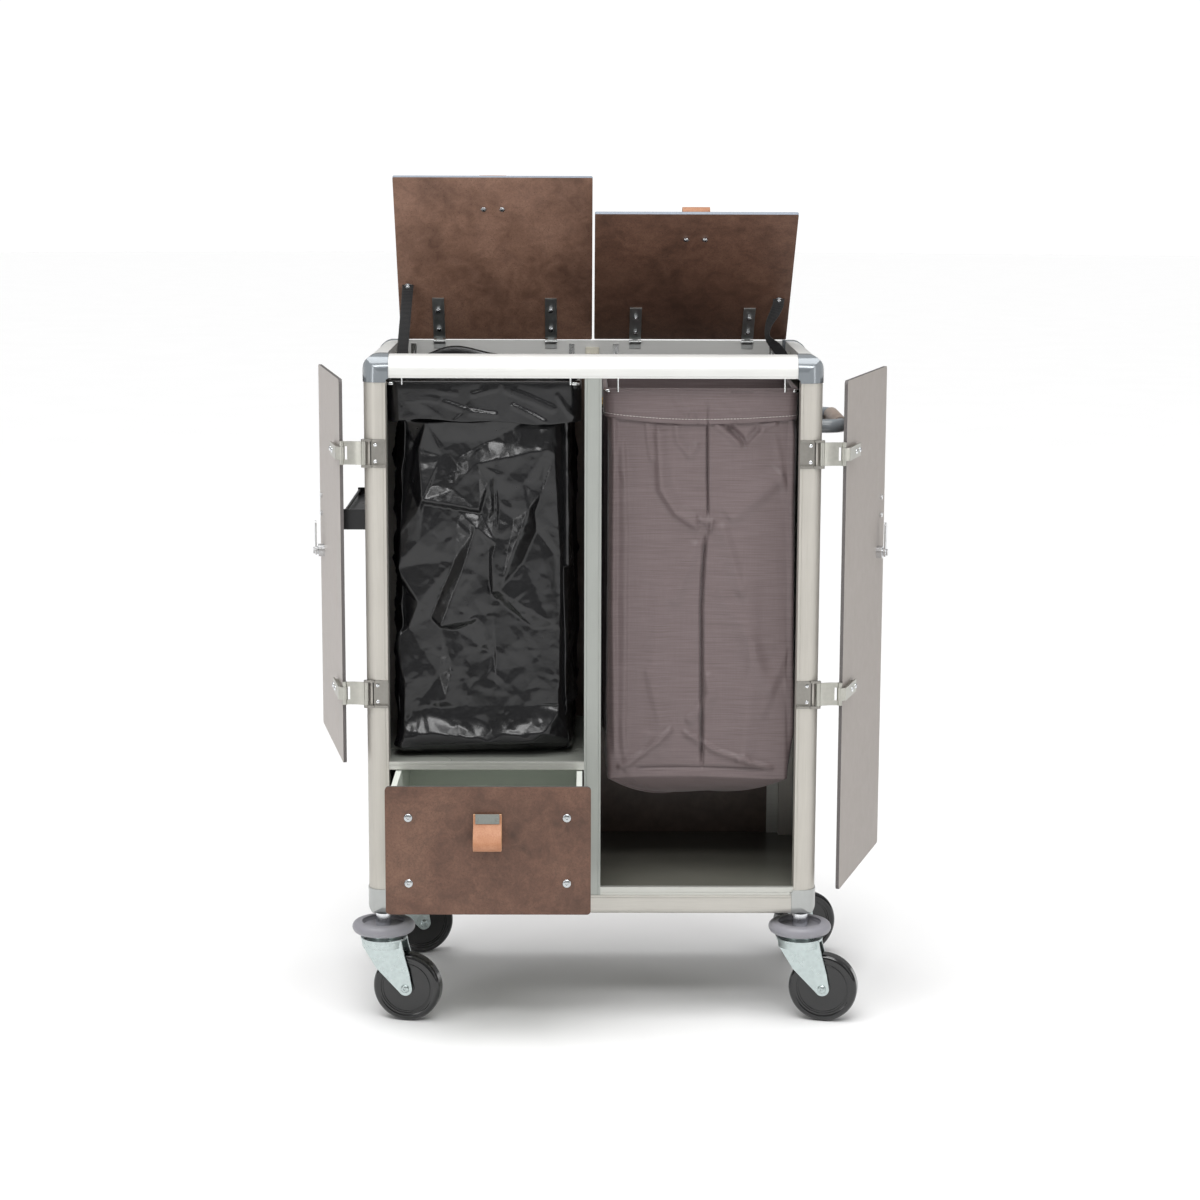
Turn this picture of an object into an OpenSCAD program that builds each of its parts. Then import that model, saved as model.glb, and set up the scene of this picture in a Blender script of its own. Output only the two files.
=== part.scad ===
// Two-compartment housekeeping cart: aluminium profile frame on four swivel
// casters, two hinged lids, two wrap-around doors, a drawer, a trash bag and
// a laundry bag.  Millimetres, +Z up.  Origin: the floor point under the
// middle of the whole cart with its doors and drawer open.  -Y is the front, where the doors and drawer are.

/* [Frame] */
// Overall width of the frame
frame_w = 810; // [780:1:840]
// Overall depth of the frame
frame_d = 430; // [420:1:440]
// Height of the top of the top rails above the floor
frame_top = 1212; // [1205:1:1220]
// Underside of the bottom rails above the floor
frame_bottom = 200; // [198:1:204]
// Width of the corner post and top rail profile
profile = 40; // [38:0.5:42]
// Radius of the rounded outer edge of the profiles
edge_r = 28; // [20:1:32]
// Wall thickness of the hollow profiles
wall = 2.4; // [1.6:0.1:3]

/* [Panels] */
// Thickness of the compact laminate doors, lids and drawer front
panel_t = 6; // [5:0.5:7]
// Top of the mid shelf above the floor
shelf_z = 480; // [470:1:490]
// Top of the floor panel above the floor
deck_z = 248; // [246:1:252]

/* [Rest pose] */
// How far the drawer stands open
drawer_out = 139.5; // [0:0.5:200]
// Opening angle of the left lid
lid_left_open = 58.5; // [0:0.5:60]
// Opening angle of the right lid
lid_right_open = 42.3; // [0:0.1:60]
// Lean of the swung-back left door away from the cart side
door_left_lean = 11.45; // [8:0.05:20]
// Lean of the swung-back right door away from the cart side
door_right_lean = 17.5; // [17:0.1:24]

/* [Casters] */
// Wheel diameter
wheel_d = 125; // [120:1:125]
// Wheel width
wheel_w = 32; // [28:1:32]
// Horizontal distance from swivel axis to axle
trail = 45; // [40:1:46]
// Diameter of the rubber bumper discs
bumper_d = 114; // [100:1:120]

/* [Bags] */
// Bottom edge of the trash bag cuff
cuff_z = 1089; // [1080:1:1100]
// Bottom edge of the laundry bag hem
hem_z = 1100; // [1090:1:1110]

/* [Hidden] */
$fn = 64;
e = 0.01;
W2 = frame_w / 2;
D = frame_d;
XO = -15.45;                 // everything below is drawn with x = 0 in the frame's middle
YO = -147.5;                 // and y = 0 at its front; these move it to the stated origin
top = frame_top;
rail_z = top - profile;      // underside of the top rails
bot = frame_bottom;
brail = 36;                  // height of the bottom rails
in_x = W2 - profile;         // inner face of the posts
rear_in = D - profile;       // inner face of the rear posts and rails
conn_drop = 48;              // how far a top connector reaches down
conn_x = 45.5;               // how far it reaches along a rail
post_z0 = bot + 46;
post_z1 = top - conn_drop;
hinge_zs = [607, 1039];      // heights of the door hinges
side_x = 391;                // inner face of the side panels
// Door hinge: A is the pivot on the post, B the pivot at the door edge.
A = [404, 3];
Bc = [364.5, -3.5];
arm_r = norm(A - Bc);
arm_a = atan2(A[1] - Bc[1], A[0] - Bc[0]);
Br = [2 * A[0] - Bc[0], 2 * A[1] - Bc[1]];
door_w = 356;
door_u = 6;                  // from pivot B to the door's hinge edge
door_top = 1168;
door_l_z0 = 477;
door_r_z0 = 243;
latch_u = 302;
latch_z = 822;
pull_u = 322;
pull_z = 907;
strap_us = [50, 80];
// Lids
lid_py = rear_in - 4;
lid_pz = top - 2;
lid_len = 358;
lid_l = [-363.5, -1.5];
lid_r = [2.5, 366];
leaf_l = [-290, -79];
leaf_r = [80, 292.5];
leaf_ys = [-27, -70];
lid_pull_y = -292;
strap_y = -122;
strap_x = 345;
// Drawer
dr_x = [-362, -2.5];
dr_z = [242.5, 472.5];
dr_bolt_x = [-321.5, -44.5];
dr_bolt_z = [299, 417];
dr_pull = [-183, 416];
// Bags
ring_l = [-366.5, -25.5, 49.5, 378];
ring_r = [21.5, 362.5, 54.5, 371.5];
ring_lz = 1158;
ring_rz = 1146;
hook_l = [-339, -40];
hook_r = [44, 340];
// Casters
sw_x = 379;
sw_yf = 21;
sw_yr = 412;
axle_z = wheel_d / 2;
yaw_f = -12;
yaw_r = 20;

// ---------- helpers ----------
module place() { translate([XO, YO, 0]) children(); }
module flip_x() { children(); mirror([1, 0, 0]) children(); }
// square with the corner at the origin rounded off
module corner2d(s, r) intersection() {
  square([s, s]);
  union() {
    translate([r, r]) circle(r);
    translate([r, 0]) square([s - r, s]);
    translate([0, r]) square([s, s - r]);
  }
}
module tube2d(s, r, t) {
  difference() { corner2d(s, r); translate([t, t]) corner2d(s - 2 * t, r - t); }
}
module rrect2d(w, h, r) {
  translate([r, 0]) square([w - 2 * r, h]);
  translate([0, r]) square([w, h - 2 * r]);
  for (x = [r, w - r], y = [r, h - r]) translate([x, y]) circle(r);
}
// 2D (p, q) to (y, z), extruded along +X from x0
module along_x(x0, len) { translate([x0, 0, 0]) rotate([90, 0, 90]) linear_extrude(len) children(); }
// 2D (p, q) to (x, z), extruded along +Y from y0
module along_y(y0, len) { translate([0, y0 + len, 0]) rotate([90, 0, 0]) linear_extrude(len) children(); }
// cup-head bolt: head on z = 0 pointing up, shank down
module cup_bolt(hr, hh, sr, len) difference() {
  rotate_extrude() polygon(concat([[0, -len], [sr, -len], [sr, 0], [hr, 0], [hr, hh * 0.25]],
    [for (a = [20 : 17.5 : 85]) [hr * cos(a), hh * 0.25 + hh * 0.75 * sin(a)]], [[0, hh]]));
  translate([0, 0, hh * 0.45]) cylinder(hh, r = hr * 0.34, $fn = 6);
}
// domed hexagon nut with a through hole, seated on z = 0 and pointing down
module nut(af, h, sr) {
  difference() {
    intersection() {
      translate([0, 0, -h]) cylinder(h, d = af / cos(30), $fn = 6);
      translate([0, 0, -h - e]) cylinder(h + 2 * e, r1 = af * 0.47, r2 = af * 0.47 + h);
    }
    translate([0, 0, -h - 1]) cylinder(h + 2, r = sr);
  }
}

// ---------- frame ----------
module post_profile() {
  difference() {
    tube2d(profile, edge_r, wall);
    translate([profile - 5.2, -1]) square([1.1, 1.7]);
    translate([-1, profile - 5.2]) square([1.7, 1.1]);
  }
}
module posts_front() color("gainsboro") place() flip_x() difference() {
  translate([-W2, 0, post_z0]) linear_extrude(post_z1 - post_z0) post_profile();
  for (z = hinge_zs) translate([-W2 - 5, -1, z - 25.2]) cube([profile + 6, 9, 50.4]);
}
module posts_rear() color("gainsboro") place() flip_x()
  translate([-W2, D, post_z0]) mirror([0, 1, 0]) linear_extrude(post_z1 - post_z0) post_profile();
module post_centre() color("silver") place() difference() {
  translate([-15, 2, bot + brail]) cube([30, 10, rail_z - bot - brail]);
  translate([-12.6, 4.6, bot]) cube([25.2, 10, 1200]);
  for (x = [-11.2, 10.2]) translate([x, 1, bot]) cube([1, 1.8, 1200]);
}
module rail2d_top() difference() {
  translate([0, top]) mirror([0, 1]) tube2d(profile, edge_r, wall);
  translate([-1, rail_z - 1]) square([2.2, 5.2]);
}
module rail2d_bot() difference() {
  translate([0, bot]) scale([1, 1]) tube2d_rect(profile, brail, 14, wall);
  translate([-1, bot + brail - 4.6]) square([1.9, 1]);
}
module tube2d_rect(w, h, r, t) difference() {
  union() { translate([r, r]) circle(r); translate([r, 0]) square([w - r, h]); translate([0, r]) square([w, h - r]); }
  translate([t, t]) union() { translate([r - t, r - t]) circle(r - t); translate([r - t, 0]) square([w - r - t, h - 2 * t]); translate([0, r - t]) square([w - 2 * t, h - r - t]); }
}
module top_rails() color("whitesmoke") place() {
  lx = frame_w - 2 * conn_x;
  ly = D - 2 * conn_x;
  along_x(-lx / 2, lx) rail2d_top();
  translate([0, D, 0]) mirror([0, 1, 0]) along_x(-lx / 2, lx) rail2d_top();
  flip_x() translate([-W2, 0, 0]) along_y(conn_x, ly) rail2d_top();
}
module bottom_rails() color("gainsboro") place() {
  lx = frame_w - 2 * 43.5;
  ly = D - 2 * 47;
  along_x(-lx / 2, lx) rail2d_bot();
  translate([0, D, 0]) mirror([0, 1, 0]) along_x(-lx / 2, lx) rail2d_bot();
  flip_x() translate([-W2, 0, 0]) along_y(47, ly) rail2d_bot();
}
// corner casting with its outer corner at the origin, reaching along +X, +Y and +Z
module corner_casting(ax, ay, az, r, rv) {
  s = profile + 2.5;
  difference() {
    intersection() {
      union() {
        cube([ax, s, s]); cube([s, ay, s]); cube([s, s, az]);
        translate([s - 1, 0, s - 1]) difference() { cube([6, s, 6]); translate([6, -1, 6]) rotate([-90, 0, 0]) cylinder(s + 2, r = 5); }
      }
      linear_extrude(70) corner2d(70, r);
      translate([70, 0, 0]) rotate([0, -90, 0]) linear_extrude(70) translate([0, 0]) corner2d(70, rv);
      translate([0, 70, 0]) rotate([90, 0, 0]) linear_extrude(70) corner2d(70, rv);
    }
  }
}
// where the side, rear and floor panels and the lips run between two heights
module panel_room(z0, h) {
  translate([-side_x - 6, profile, z0]) cube([80, rear_in - profile, h]);
  translate([-in_x, 2, z0]) cube([60, D - 13, h]);
}
module top_connectors() color("slategray") place() flip_x() difference() {
  union() {
    translate([-W2 - 1.5, -1.5, top + 1.5]) mirror([0, 0, 1]) corner_casting(conn_x + 1.5, conn_x + 1.5, conn_drop + 1.5, edge_r + 1.5, edge_r + 1.5);
    translate([-W2 - 1.5, D + 1.5, top + 1.5]) mirror([0, 1, 0]) mirror([0, 0, 1]) corner_casting(conn_x + 1.5, conn_x + 1.5, conn_drop + 1.5, edge_r + 1.5, edge_r + 1.5);
  }
  panel_room(rail_z - 20, 20);
}
module bottom_connectors() color("silver") place() flip_x() difference() {
  union() {
    translate([-W2 - 1.5, -1.5, bot - 1.5]) corner_casting(45, 48.5, 47.5, edge_r + 1.5, 18);
    translate([-W2 - 1.5, D + 1.5, bot - 1.5]) mirror([0, 1, 0]) corner_casting(45, 48.5, 47.5, edge_r + 1.5, 18);
  }
  for (y = [sw_yf, sw_yr]) translate([-sw_x, y, bot - 5]) cylinder(32, r = 6.05);
  panel_room(bot + brail, 30);
}
module outer_panels() color("saddlebrown") place() {
  flip_x() translate([-side_x - 6, profile, bot + brail]) cube([6, rear_in - profile, rail_z - bot - brail]);
  translate([-in_x, D - 16, bot + brail]) cube([2 * in_x, 5, rail_z - bot - brail]);
}
module divider_panel() color("lightslategray") place() translate([-3, 12, bot + brail]) cube([6, D - 28, 1148 - bot - brail]);
module shelf_slab(x0, x1, z0, t) {
  translate([x0 < -in_x ? -side_x : x0, profile, z0]) cube([(x1 > in_x ? side_x : x1) - (x0 < -in_x ? -side_x : x0), rear_in - profile, t]);
  translate([max(x0, -in_x), 12, z0]) cube([min(x1, in_x) - max(x0, -in_x), D - 28, t]);
}
module rear_stiles(z0, h, g) for (x = [-in_x, in_x - 22]) translate([x - (x < 0 ? 30 * g : 0), D - 22, z0]) cube([22 + 30 * g, 6 + 20 * g, h]);
module floor_panel() color("dimgray") place() difference() {
  union() {
    shelf_slab(-side_x, -3, bot + brail, deck_z - bot - brail);
    shelf_slab(3, side_x, bot + brail, deck_z - bot - brail);
  }
  rear_stiles(bot + brail - 5, 40, 1);
}
module shelf_panel() color("dimgray") place() difference() {
  shelf_slab(-side_x, -3, shelf_z - 6, 6);
  rear_stiles(shelf_z - 12, 24, 1);
}
module edge_lips() color("gainsboro") place() {
  for (x = [-in_x, 15]) along_x(x, in_x - 15) difference() {
    translate([2, bot + brail]) square([10, deck_z + 3 - bot - brail]);
    translate([1.5, bot + brail + 5]) square([1.3, 1.2]);
  }
  along_x(-in_x, in_x - 15) difference() {
    translate([2, shelf_z - 11.5]) square([10, 14]);
    translate([11, shelf_z - 6]) square([2, 6]);
    translate([1.5, shelf_z - 4]) square([1.3, 1.2]);
  }
  rear_stiles(bot + brail, rail_z - bot - brail, 0);
}

// ---------- bag frames and bags ----------
module wire_ring(r4, z) {
  x0 = r4[0]; x1 = r4[1]; y0 = r4[2]; y1 = r4[3]; c = 5; w = 3;
  for (y = [y0, y1]) translate([x0 + c, y, z]) rotate([0, 90, 0]) cylinder(x1 - x0 - 2 * c, r = w);
  for (x = [x0, x1]) translate([x, y0 + c, z]) rotate([-90, 0, 0]) cylinder(y1 - y0 - 2 * c, r = w);
  for (k = [[x0 + c, y0 + c, 180], [x1 - c, y0 + c, 270], [x1 - c, y1 - c, 0], [x0 + c, y1 - c, 90]])
    translate([k[0], k[1], z]) rotate([0, 0, k[2]]) rotate_extrude(angle = 90) translate([c, 0]) circle(w);
}
module ring_hooks(r4, z, xs) for (x = xs) {
  translate([x - 5, profile, top - 36]) cube([10, 2.6, 30]);
  translate([x, profile + 4, z]) cylinder(top - 20 - z, r = 2);
  translate([x, profile + 4, z]) rotate([-90, 0, 0]) cylinder(r4[2] - profile - 4, r = 2);
  translate([x, profile + 4, z]) sphere(2);
  translate([x - 5, rear_in - 2.6, top - 36]) cube([10, 2.6, 30]);
  translate([x, rear_in - 4, z]) cylinder(top - 20 - z, r = 2);
  translate([x, r4[3], z]) rotate([-90, 0, 0]) cylinder(rear_in - 4 - r4[3], r = 2);
  translate([x, rear_in - 4, z]) sphere(2);
}
module bag_frames() color("lightgray") place() {
  wire_ring(ring_l, ring_lz); ring_hooks(ring_l, ring_lz, hook_l);
  wire_ring(ring_r, ring_rz); ring_hooks(ring_r, ring_rz, hook_r);
}
// open bag that folds outward over its wire ring: side profile [y, z] of the body
module ring_bag(r4, rz, skirt, body, zmin, xs) difference() {
  t = 2.2; c = 4.5;
  union() {
    along_x(r4[0] + c, r4[1] - r4[0] - 2 * c) polygon(body);
    translate([r4[0] - c, r4[2] - c, skirt]) cube([r4[1] - r4[0] + 2 * c, r4[3] - r4[2] + 2 * c, rz + 5 - skirt]);
  }
  // inside of the bag
  along_x(r4[0] + c + t, r4[1] - r4[0] - 2 * c - 2 * t) polygon(inset_body(body, t, zmin));
  // room for the ring between body and cuff, open below
  difference() {
    translate([r4[0] - c + 1.4, r4[2] - c + 1.4, skirt - 1]) cube([r4[1] - r4[0] + 2 * c - 2.8, r4[3] - r4[2] + 2 * c - 2.8, rz + 4.05 - skirt]);
    translate([r4[0] + c, r4[2] + c, skirt - 2]) cube([r4[1] - r4[0] - 2 * c, r4[3] - r4[2] - 2 * c, rz + 8 - skirt]);
  }
  for (x = xs, y = [r4[2] - 6, r4[3] + 1]) translate([x - 3, y, rz - 3]) cube([6, 5, 20]);
}
function inset_body(b, t, zmin) = concat([[b[0][0] + t, b[0][1] + 9]],
  [for (i = [1 : len(b) - 2]) [b[i][0] + (b[i][0] < 214 ? t : b[i][0] > 216 ? -t : 0), b[i][1] + (b[i][1] < zmin ? t : 0)]],
  [[b[len(b) - 1][0] - t, b[len(b) - 1][1] + 9]]);
trash_body = [[54, 1163], [54, 660], [66, 570], [130, shelf_z + 0.5], [350, shelf_z + 0.5], [373.5, 600], [373.5, 1163]];
laundry_body = [[59, 1151], [59, 437], [110, 400], [215, 386], [320, 400], [367, 437], [367, 1151]];
module trash_bag() color([0.23, 0.24, 0.25]) place() ring_bag(ring_l, ring_lz, cuff_z, trash_body, 500, hook_l);
module laundry_bag() color([0.47, 0.42, 0.42]) place() ring_bag(ring_r, ring_rz, hem_z, laundry_body, 450, hook_r);

// ---------- side fittings ----------
hx = 447; hz = 1080; hy = [95, 335];
module push_handle() color("slategray") place() {
  px = side_x + 6;
  for (y = hy) {
    translate([px, y, hz]) rotate([0, 90, 0]) cylinder(5, r = 26);
    translate([px, y, hz]) rotate([0, 90, 0]) cylinder(hx - 25 - px, r = 12.5);
  }
  translate([hx, hy[0] + 25, hz]) rotate([-90, 0, 0]) cylinder(hy[1] - hy[0] - 50, r = 12.5);
  translate([hx - 25, hy[0] + 25, hz]) rotate([0, 0, 270]) rotate_extrude(angle = 90) translate([25, 0]) circle(12.5);
  translate([hx - 25, hy[1] - 25, hz]) rotate_extrude(angle = 90) translate([25, 0]) circle(12.5);
}
module handle_grip() color("tan") place() translate([hx, hy[0] + 28, hz]) rotate([-90, 0, 0])
  difference() { cylinder(hy[1] - hy[0] - 56, r = 14.2); translate([0, 0, -1]) cylinder(300, r = 12.5); }
acc_z = 907; acc_holes = [172, 236];
module accessory_rail() color([0.1, 0.1, 0.1]) place() difference() {
  px = -side_x - 6;
  union() {
    translate([px - 5, 60, 893]) cube([5, 320, 41]);
    translate([-447, 60, 895.5]) cube([px + 447 - 4, 320, 23.5]);
    for (y = [60, 374]) translate([-447, y, 918]) cube([px + 447 - 4, 6, 14]);
    translate([-443.5, 62, 927.5]) rotate([-90, 0, 0]) cylinder(316, r = 2.7);
  }
  for (y = acc_holes) translate([-448, y, acc_z]) rotate([0, 90, 0]) cylinder(24, r = 3.25);
  for (y = [80, 350]) translate([-440, y, 927.5]) rotate([0, 90, 0]) cylinder(60, r = 2);
}

// ---------- door hinges ----------
module hinge_clips() color("silver") place() flip_x() for (z = hinge_zs) difference() {
  union() {
    translate([-W2 + 14, 5.5, z - 24.9]) cube([25.8, 2.3, 49.8]);
    for (s = [-1, 1]) translate([0, 0, z + s * 23 - 2]) linear_extrude(4) intersection() {
      union() {
        translate([-W2 - 1.4, -1.4]) corner2d(profile + 1.2, edge_r + 1.4);
        translate([-A[0], A[1]]) circle(4.6);
        translate([-A[0], -0.5]) square([14, 8]);
      }
      translate([-W2 - 6, -2]) square([profile + 5.8, 9.8]);
    }
  }
  translate([-A[0], A[1], z - 30]) cylinder(60, r = 2);
  for (s = [-1, 1]) translate([-384, 0, z + s * 15]) rotate([-90, 0, 0]) cylinder(12, r = 1.8);
}
// pins of the door hinges and of the lid hinges
module hinge_pins() color("silver") place() {
  flip_x() for (z = hinge_zs) translate([-A[0], A[1], z - 25.6]) cylinder(51.2, r = 2);
  for (x = concat(leaf_l, leaf_r)) translate([x - 11.6, lid_py, lid_pz]) rotate([0, 90, 0]) cylinder(23.2, r = 1.8);
}
module frame_screws() color("silver") place() {
  flip_x() for (z = hinge_zs, s = [-1, 1]) translate([-384, 5.5, z + s * 15]) rotate([90, 0, 0]) cup_bolt(3.6, 2.1, 1.8, 6);
  for (y = [80, 350]) translate([-side_x - 11, y, 927.5]) rotate([0, -90, 0]) cup_bolt(4, 2.4, 2, 5);
  for (y = hy, s = [-1, 1]) translate([side_x + 11, y, hz + s * 19]) rotate([0, 90, 0]) cup_bolt(3.6, 2.4, 0.5, 0.0);
}
// arm from pivot A at the origin to pivot B on +X
module hinge_arm() {
  R = (arm_r * arm_r / 4 + 16) / 8;
  difference() {
    translate([0, 0, -20.7]) linear_extrude(41.4) {
      intersection() {
        difference() {
          translate([arm_r / 2, R - 4]) circle(R + 1.2, $fn = 128);
          translate([arm_r / 2, R - 4]) circle(R - 1.2, $fn = 128);
        }
        translate([0, -8]) square([arm_r, 10]);
      }
      circle(4);
      translate([arm_r, 0]) circle(4);
    }
    translate([arm_r - 9.5, -8, -11.8]) cube([16, 16, 23.6]);
    translate([0, 0, -30]) cylinder(60, r = 2.05);
    translate([arm_r, 0, -30]) cylinder(60, r = 2);
  }
  translate([arm_r, 0, -21]) cylinder(42, r = 2);
}
module arms() for (z = hinge_zs) translate([-A[0], A[1], z]) rotate([0, 0, 180 - arm_a]) hinge_arm();
module hinge_arms_left() color("silver") place() arms();
module hinge_arms_right() color("silver") place() mirror([1, 0, 0]) arms();

// ---------- doors: drawn from pivot B, +X to the free edge, +Y to the inner face ----------
module door_l() translate([-Br[0], Br[1], 0]) rotate([0, 0, 90 + door_left_lean]) children();
module door_r() translate([Br[0], Br[1], 0]) rotate([0, 0, -90 - door_right_lean]) mirror([1, 0, 0]) children();
module door_holes() {
  for (z = hinge_zs, u = strap_us) translate([u, -10, z]) rotate([-90, 0, 0]) cylinder(30, r = 2.5);
  for (s = [-1, 1]) translate([pull_u, -10, pull_z + s * 17]) rotate([-90, 0, 0]) cylinder(30, r = 2.5);
  translate([latch_u, -10, latch_z]) rotate([-90, 0, 0]) cylinder(30, r = 9);
}
module door_leaf(z0) difference() {
  translate([door_u, panel_t / 2, 0]) rotate([90, 0, 0]) linear_extrude(panel_t) translate([0, z0]) rrect2d(door_w, door_top - z0, 7);
  door_holes();
}
module door_straps() for (z = hinge_zs) {
  translate([0, 0, z - 11.5]) linear_extrude(23) difference() {
    union() { circle(5.5); polygon([[-5.5, 0], [-5.2, 2], [0.8, 9.4], [0.8, 11], [91, 11], [91, 8.5], [2.9, 8.5], [-1.6, 3], [-1.6, 0]]); }
    circle(2.05);
    for (u = strap_us) translate([u - 2.5, 8]) square([5, 0.01]);
  }
}
module door_straps_full() difference() {
  door_straps();
  for (z = hinge_zs, u = strap_us) translate([u, 0, z]) rotate([-90, 0, 0]) cylinder(30, r = 2.5);
}
module strap_packers() difference() {
  for (z = hinge_zs) translate([20, 3, z - 9]) cube([70, 5.5, 18]);
  door_holes();
}
module door_bolts() {
  for (z = hinge_zs, u = strap_us) {
    translate([u, 11, z]) rotate([-90, 0, 0]) cup_bolt(4.8, 3.4, 2.5, 17);
    translate([u, -3, z]) rotate([90, 0, 0]) difference() { cylinder(3, r = 6); translate([0, 0, -1]) cylinder(5, r = 2.5); }
  }
  // pull plate, its bolts and nuts
  difference() {
    translate([pull_u - 8.75, -9.6, pull_z - 21]) cube([17.5, 1.5, 42]);
    door_holes();
  }
  for (s = [-1, 1]) translate([pull_u, 0, pull_z + s * 17]) {
    translate([0, -9.6, 0]) rotate([90, 0, 0]) cup_bolt(4.8, 2.6, 2.5, 17.2);
    translate([0, 3, 0]) rotate([90, 0, 0]) nut(9, 4.2, 2.5);
  }
  // latch housing
  translate([latch_u, 3, latch_z]) rotate([-90, 0, 0]) difference() {
    union() { translate([0, 0, -6]) cylinder(17, r = 9); cylinder(11, r = 12); }
    translate([0, 0, -8]) cylinder(30, r = 5.05);
  }
}
// folded leather loop: length along +X, standing off along +Y, width along Z
module loop2d(g) {
  translate([-8 + g * 2.2, g]) square([18.5 - g * 2.2, 5 - 2 * g]);
  hull() {
    translate([9.5 + g, g]) square([1, 5 - 2 * g]);
    translate([41.5, 14]) circle(14 - g, $fn = 32);
  }
}
module leather_loop() difference() {
  translate([0, 0, -25]) linear_extrude(50) difference() { loop2d(0); intersection() { loop2d(2.4); translate([13, -1]) square([60, 60]); } }
  for (s = [-1, 1]) translate([0, -1, s * 17]) rotate([-90, 0, 0]) cylinder(8, r = 2.5);
}
module door_pull() translate([pull_u, -3.05, pull_z]) rotate([0, 0, 180]) leather_loop();
module latch() translate([latch_u, 0, latch_z]) {
  rotate([-90, 0, 0]) translate([0, 0, -6]) cylinder(27, r = 5);
  rotate([-90, 0, 0]) translate([0, 0, 14.3]) cylinder(3.4, r = 7.6);
  translate([0, 20, 0]) rotate([90, 0, 0]) linear_extrude(3) { circle(9); translate([-6.5, 0]) square([13, 50]); translate([0, 50]) circle(6.5); }
  rotate([-90, 0, 0]) translate([0, 0, 19.5]) cylinder(3.9, d = 13, $fn = 6);
  translate([0, -3.2, 0]) rotate([90, 0, 0]) cylinder(3, r = 13);
  translate([-3.5, -15, -10]) cube([7, 10, 20]);
}
module door_left() color("sienna") place() door_l() door_leaf(door_l_z0);
module door_right() color("sienna") place() door_r() door_leaf(door_r_z0);
module door_straps_left() color("silver") place() door_l() { door_straps_full(); strap_packers(); }
module door_straps_right() color("silver") place() door_r() { door_straps_full(); strap_packers(); }
module door_bolts_left() color("silver") place() door_l() door_bolts();
module door_bolts_right() color("silver") place() door_r() door_bolts();
module door_pull_left() color("peru") place() door_l() door_pull();
module door_pull_right() color("peru") place() door_r() door_pull();
module latch_left() color("silver") place() door_l() latch();
module latch_right() color("silver") place() door_r() latch();

// ---------- lids: drawn from the hinge axis, closed, reaching to -Y ----------
module lid_lp() translate([0, lid_py, lid_pz]) rotate([-lid_left_open, 0, 0]) children();
module lid_rp() translate([0, lid_py, lid_pz]) rotate([-lid_right_open, 0, 0]) children();
module lid_holes(xs, cx, sx) {
  for (x = xs, y = leaf_ys) translate([x, y, -10]) cylinder(30, r = 2.5);
  for (s = [-1, 1]) translate([cx + s * 17, lid_pull_y, -10]) cylinder(30, r = 2.5);
  translate([sx, strap_y, -10]) cylinder(30, r = 2.5);
}
module lid_plate(x2, xs, cx, sx) difference() {
  translate([x2[0], -lid_len, 5]) linear_extrude(panel_t) rrect2d(x2[1] - x2[0], lid_len - 1.5, 3);
  lid_holes(xs, cx, sx);
}
module lid_leaf(x) difference() {
  union() {
    along_x(x - 11, 22) translate([-96, 2.5]) square([90, 2.5]);
    along_x(x - 5.5, 11) { circle(4); translate([-8, 2.2]) square([8, 2.8]); }
  }
  for (y = leaf_ys) translate([x, y, -10]) cylinder(30, r = 2.5);
  translate([x - 20, 0, 0]) rotate([0, 90, 0]) cylinder(40, r = 1.85);
}
module lid_hinge_bases() color("dimgray") place() for (x = concat(leaf_l, leaf_r)) translate([0, lid_py, lid_pz]) difference() {
  union() {
    translate([x - 11, 2, -13]) cube([22, 2, 13]);
    for (k = [-11, 6]) translate([x + k, 0, 0]) rotate([0, 90, 0]) cylinder(5, r = 4);
    for (k = [-11, 6]) translate([x + k, 0, -4]) cube([5, 3, 4]);
  }
  translate([x - 20, 0, 0]) rotate([0, 90, 0]) cylinder(40, r = 1.8);
  translate([x - 5.8, 0, -4.4]) cube([11.6, 5, 5]);
}
module lid_bolts(xs, cx, sx) {
  for (x = xs, y = leaf_ys) { translate([x, y, 11]) cup_bolt(6.5, 2.6, 2.5, 14); translate([x, y, 2.5]) nut(9, 4.4, 2.5); }
  difference() { translate([cx - 21, lid_pull_y - 8.75, 16.1]) cube([42, 17.5, 1.5]); lid_holes(xs, cx, sx); }
  for (s = [-1, 1]) { translate([cx + s * 17, lid_pull_y, 17.6]) cup_bolt(4.8, 2.6, 2.5, 18); translate([cx + s * 17, lid_pull_y, 5]) nut(9, 4.4, 2.5); }
  translate([sx, strap_y, 11]) cup_bolt(6.5, 2.6, 2.5, 14);
  translate([sx, strap_y, 2.6]) nut(9, 4.4, 2.5);
  translate([sx, strap_y, 2.6]) difference() { cylinder(0.8, r = 7); translate([0, 0, -1]) cylinder(3, r = 2.5); }
}
module lid_pull(cx) translate([cx, lid_pull_y, 11.05]) rotate([90, 0, 0]) rotate([0, -90, 0]) leather_loop();
module lid_left() color("saddlebrown") place() lid_lp() lid_plate(lid_l, leaf_l, -183, -strap_x);
module lid_right() color("saddlebrown") place() lid_rp() lid_plate(lid_r, leaf_r, 184, strap_x);
module lid_leaves_left() color("dimgray") place() lid_lp() for (x = leaf_l) lid_leaf(x);
module lid_leaves_right() color("dimgray") place() lid_rp() for (x = leaf_r) lid_leaf(x);
module lid_bolts_left() color("silver") place() lid_lp() lid_bolts(leaf_l, -183, -strap_x);
module lid_bolts_right() color("silver") place() lid_rp() lid_bolts(leaf_r, 184, strap_x);
module lid_pull_left() color("peru") place() lid_lp() lid_pull(-183);
module lid_pull_right() color("peru") place() lid_rp() lid_pull(184);

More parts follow.
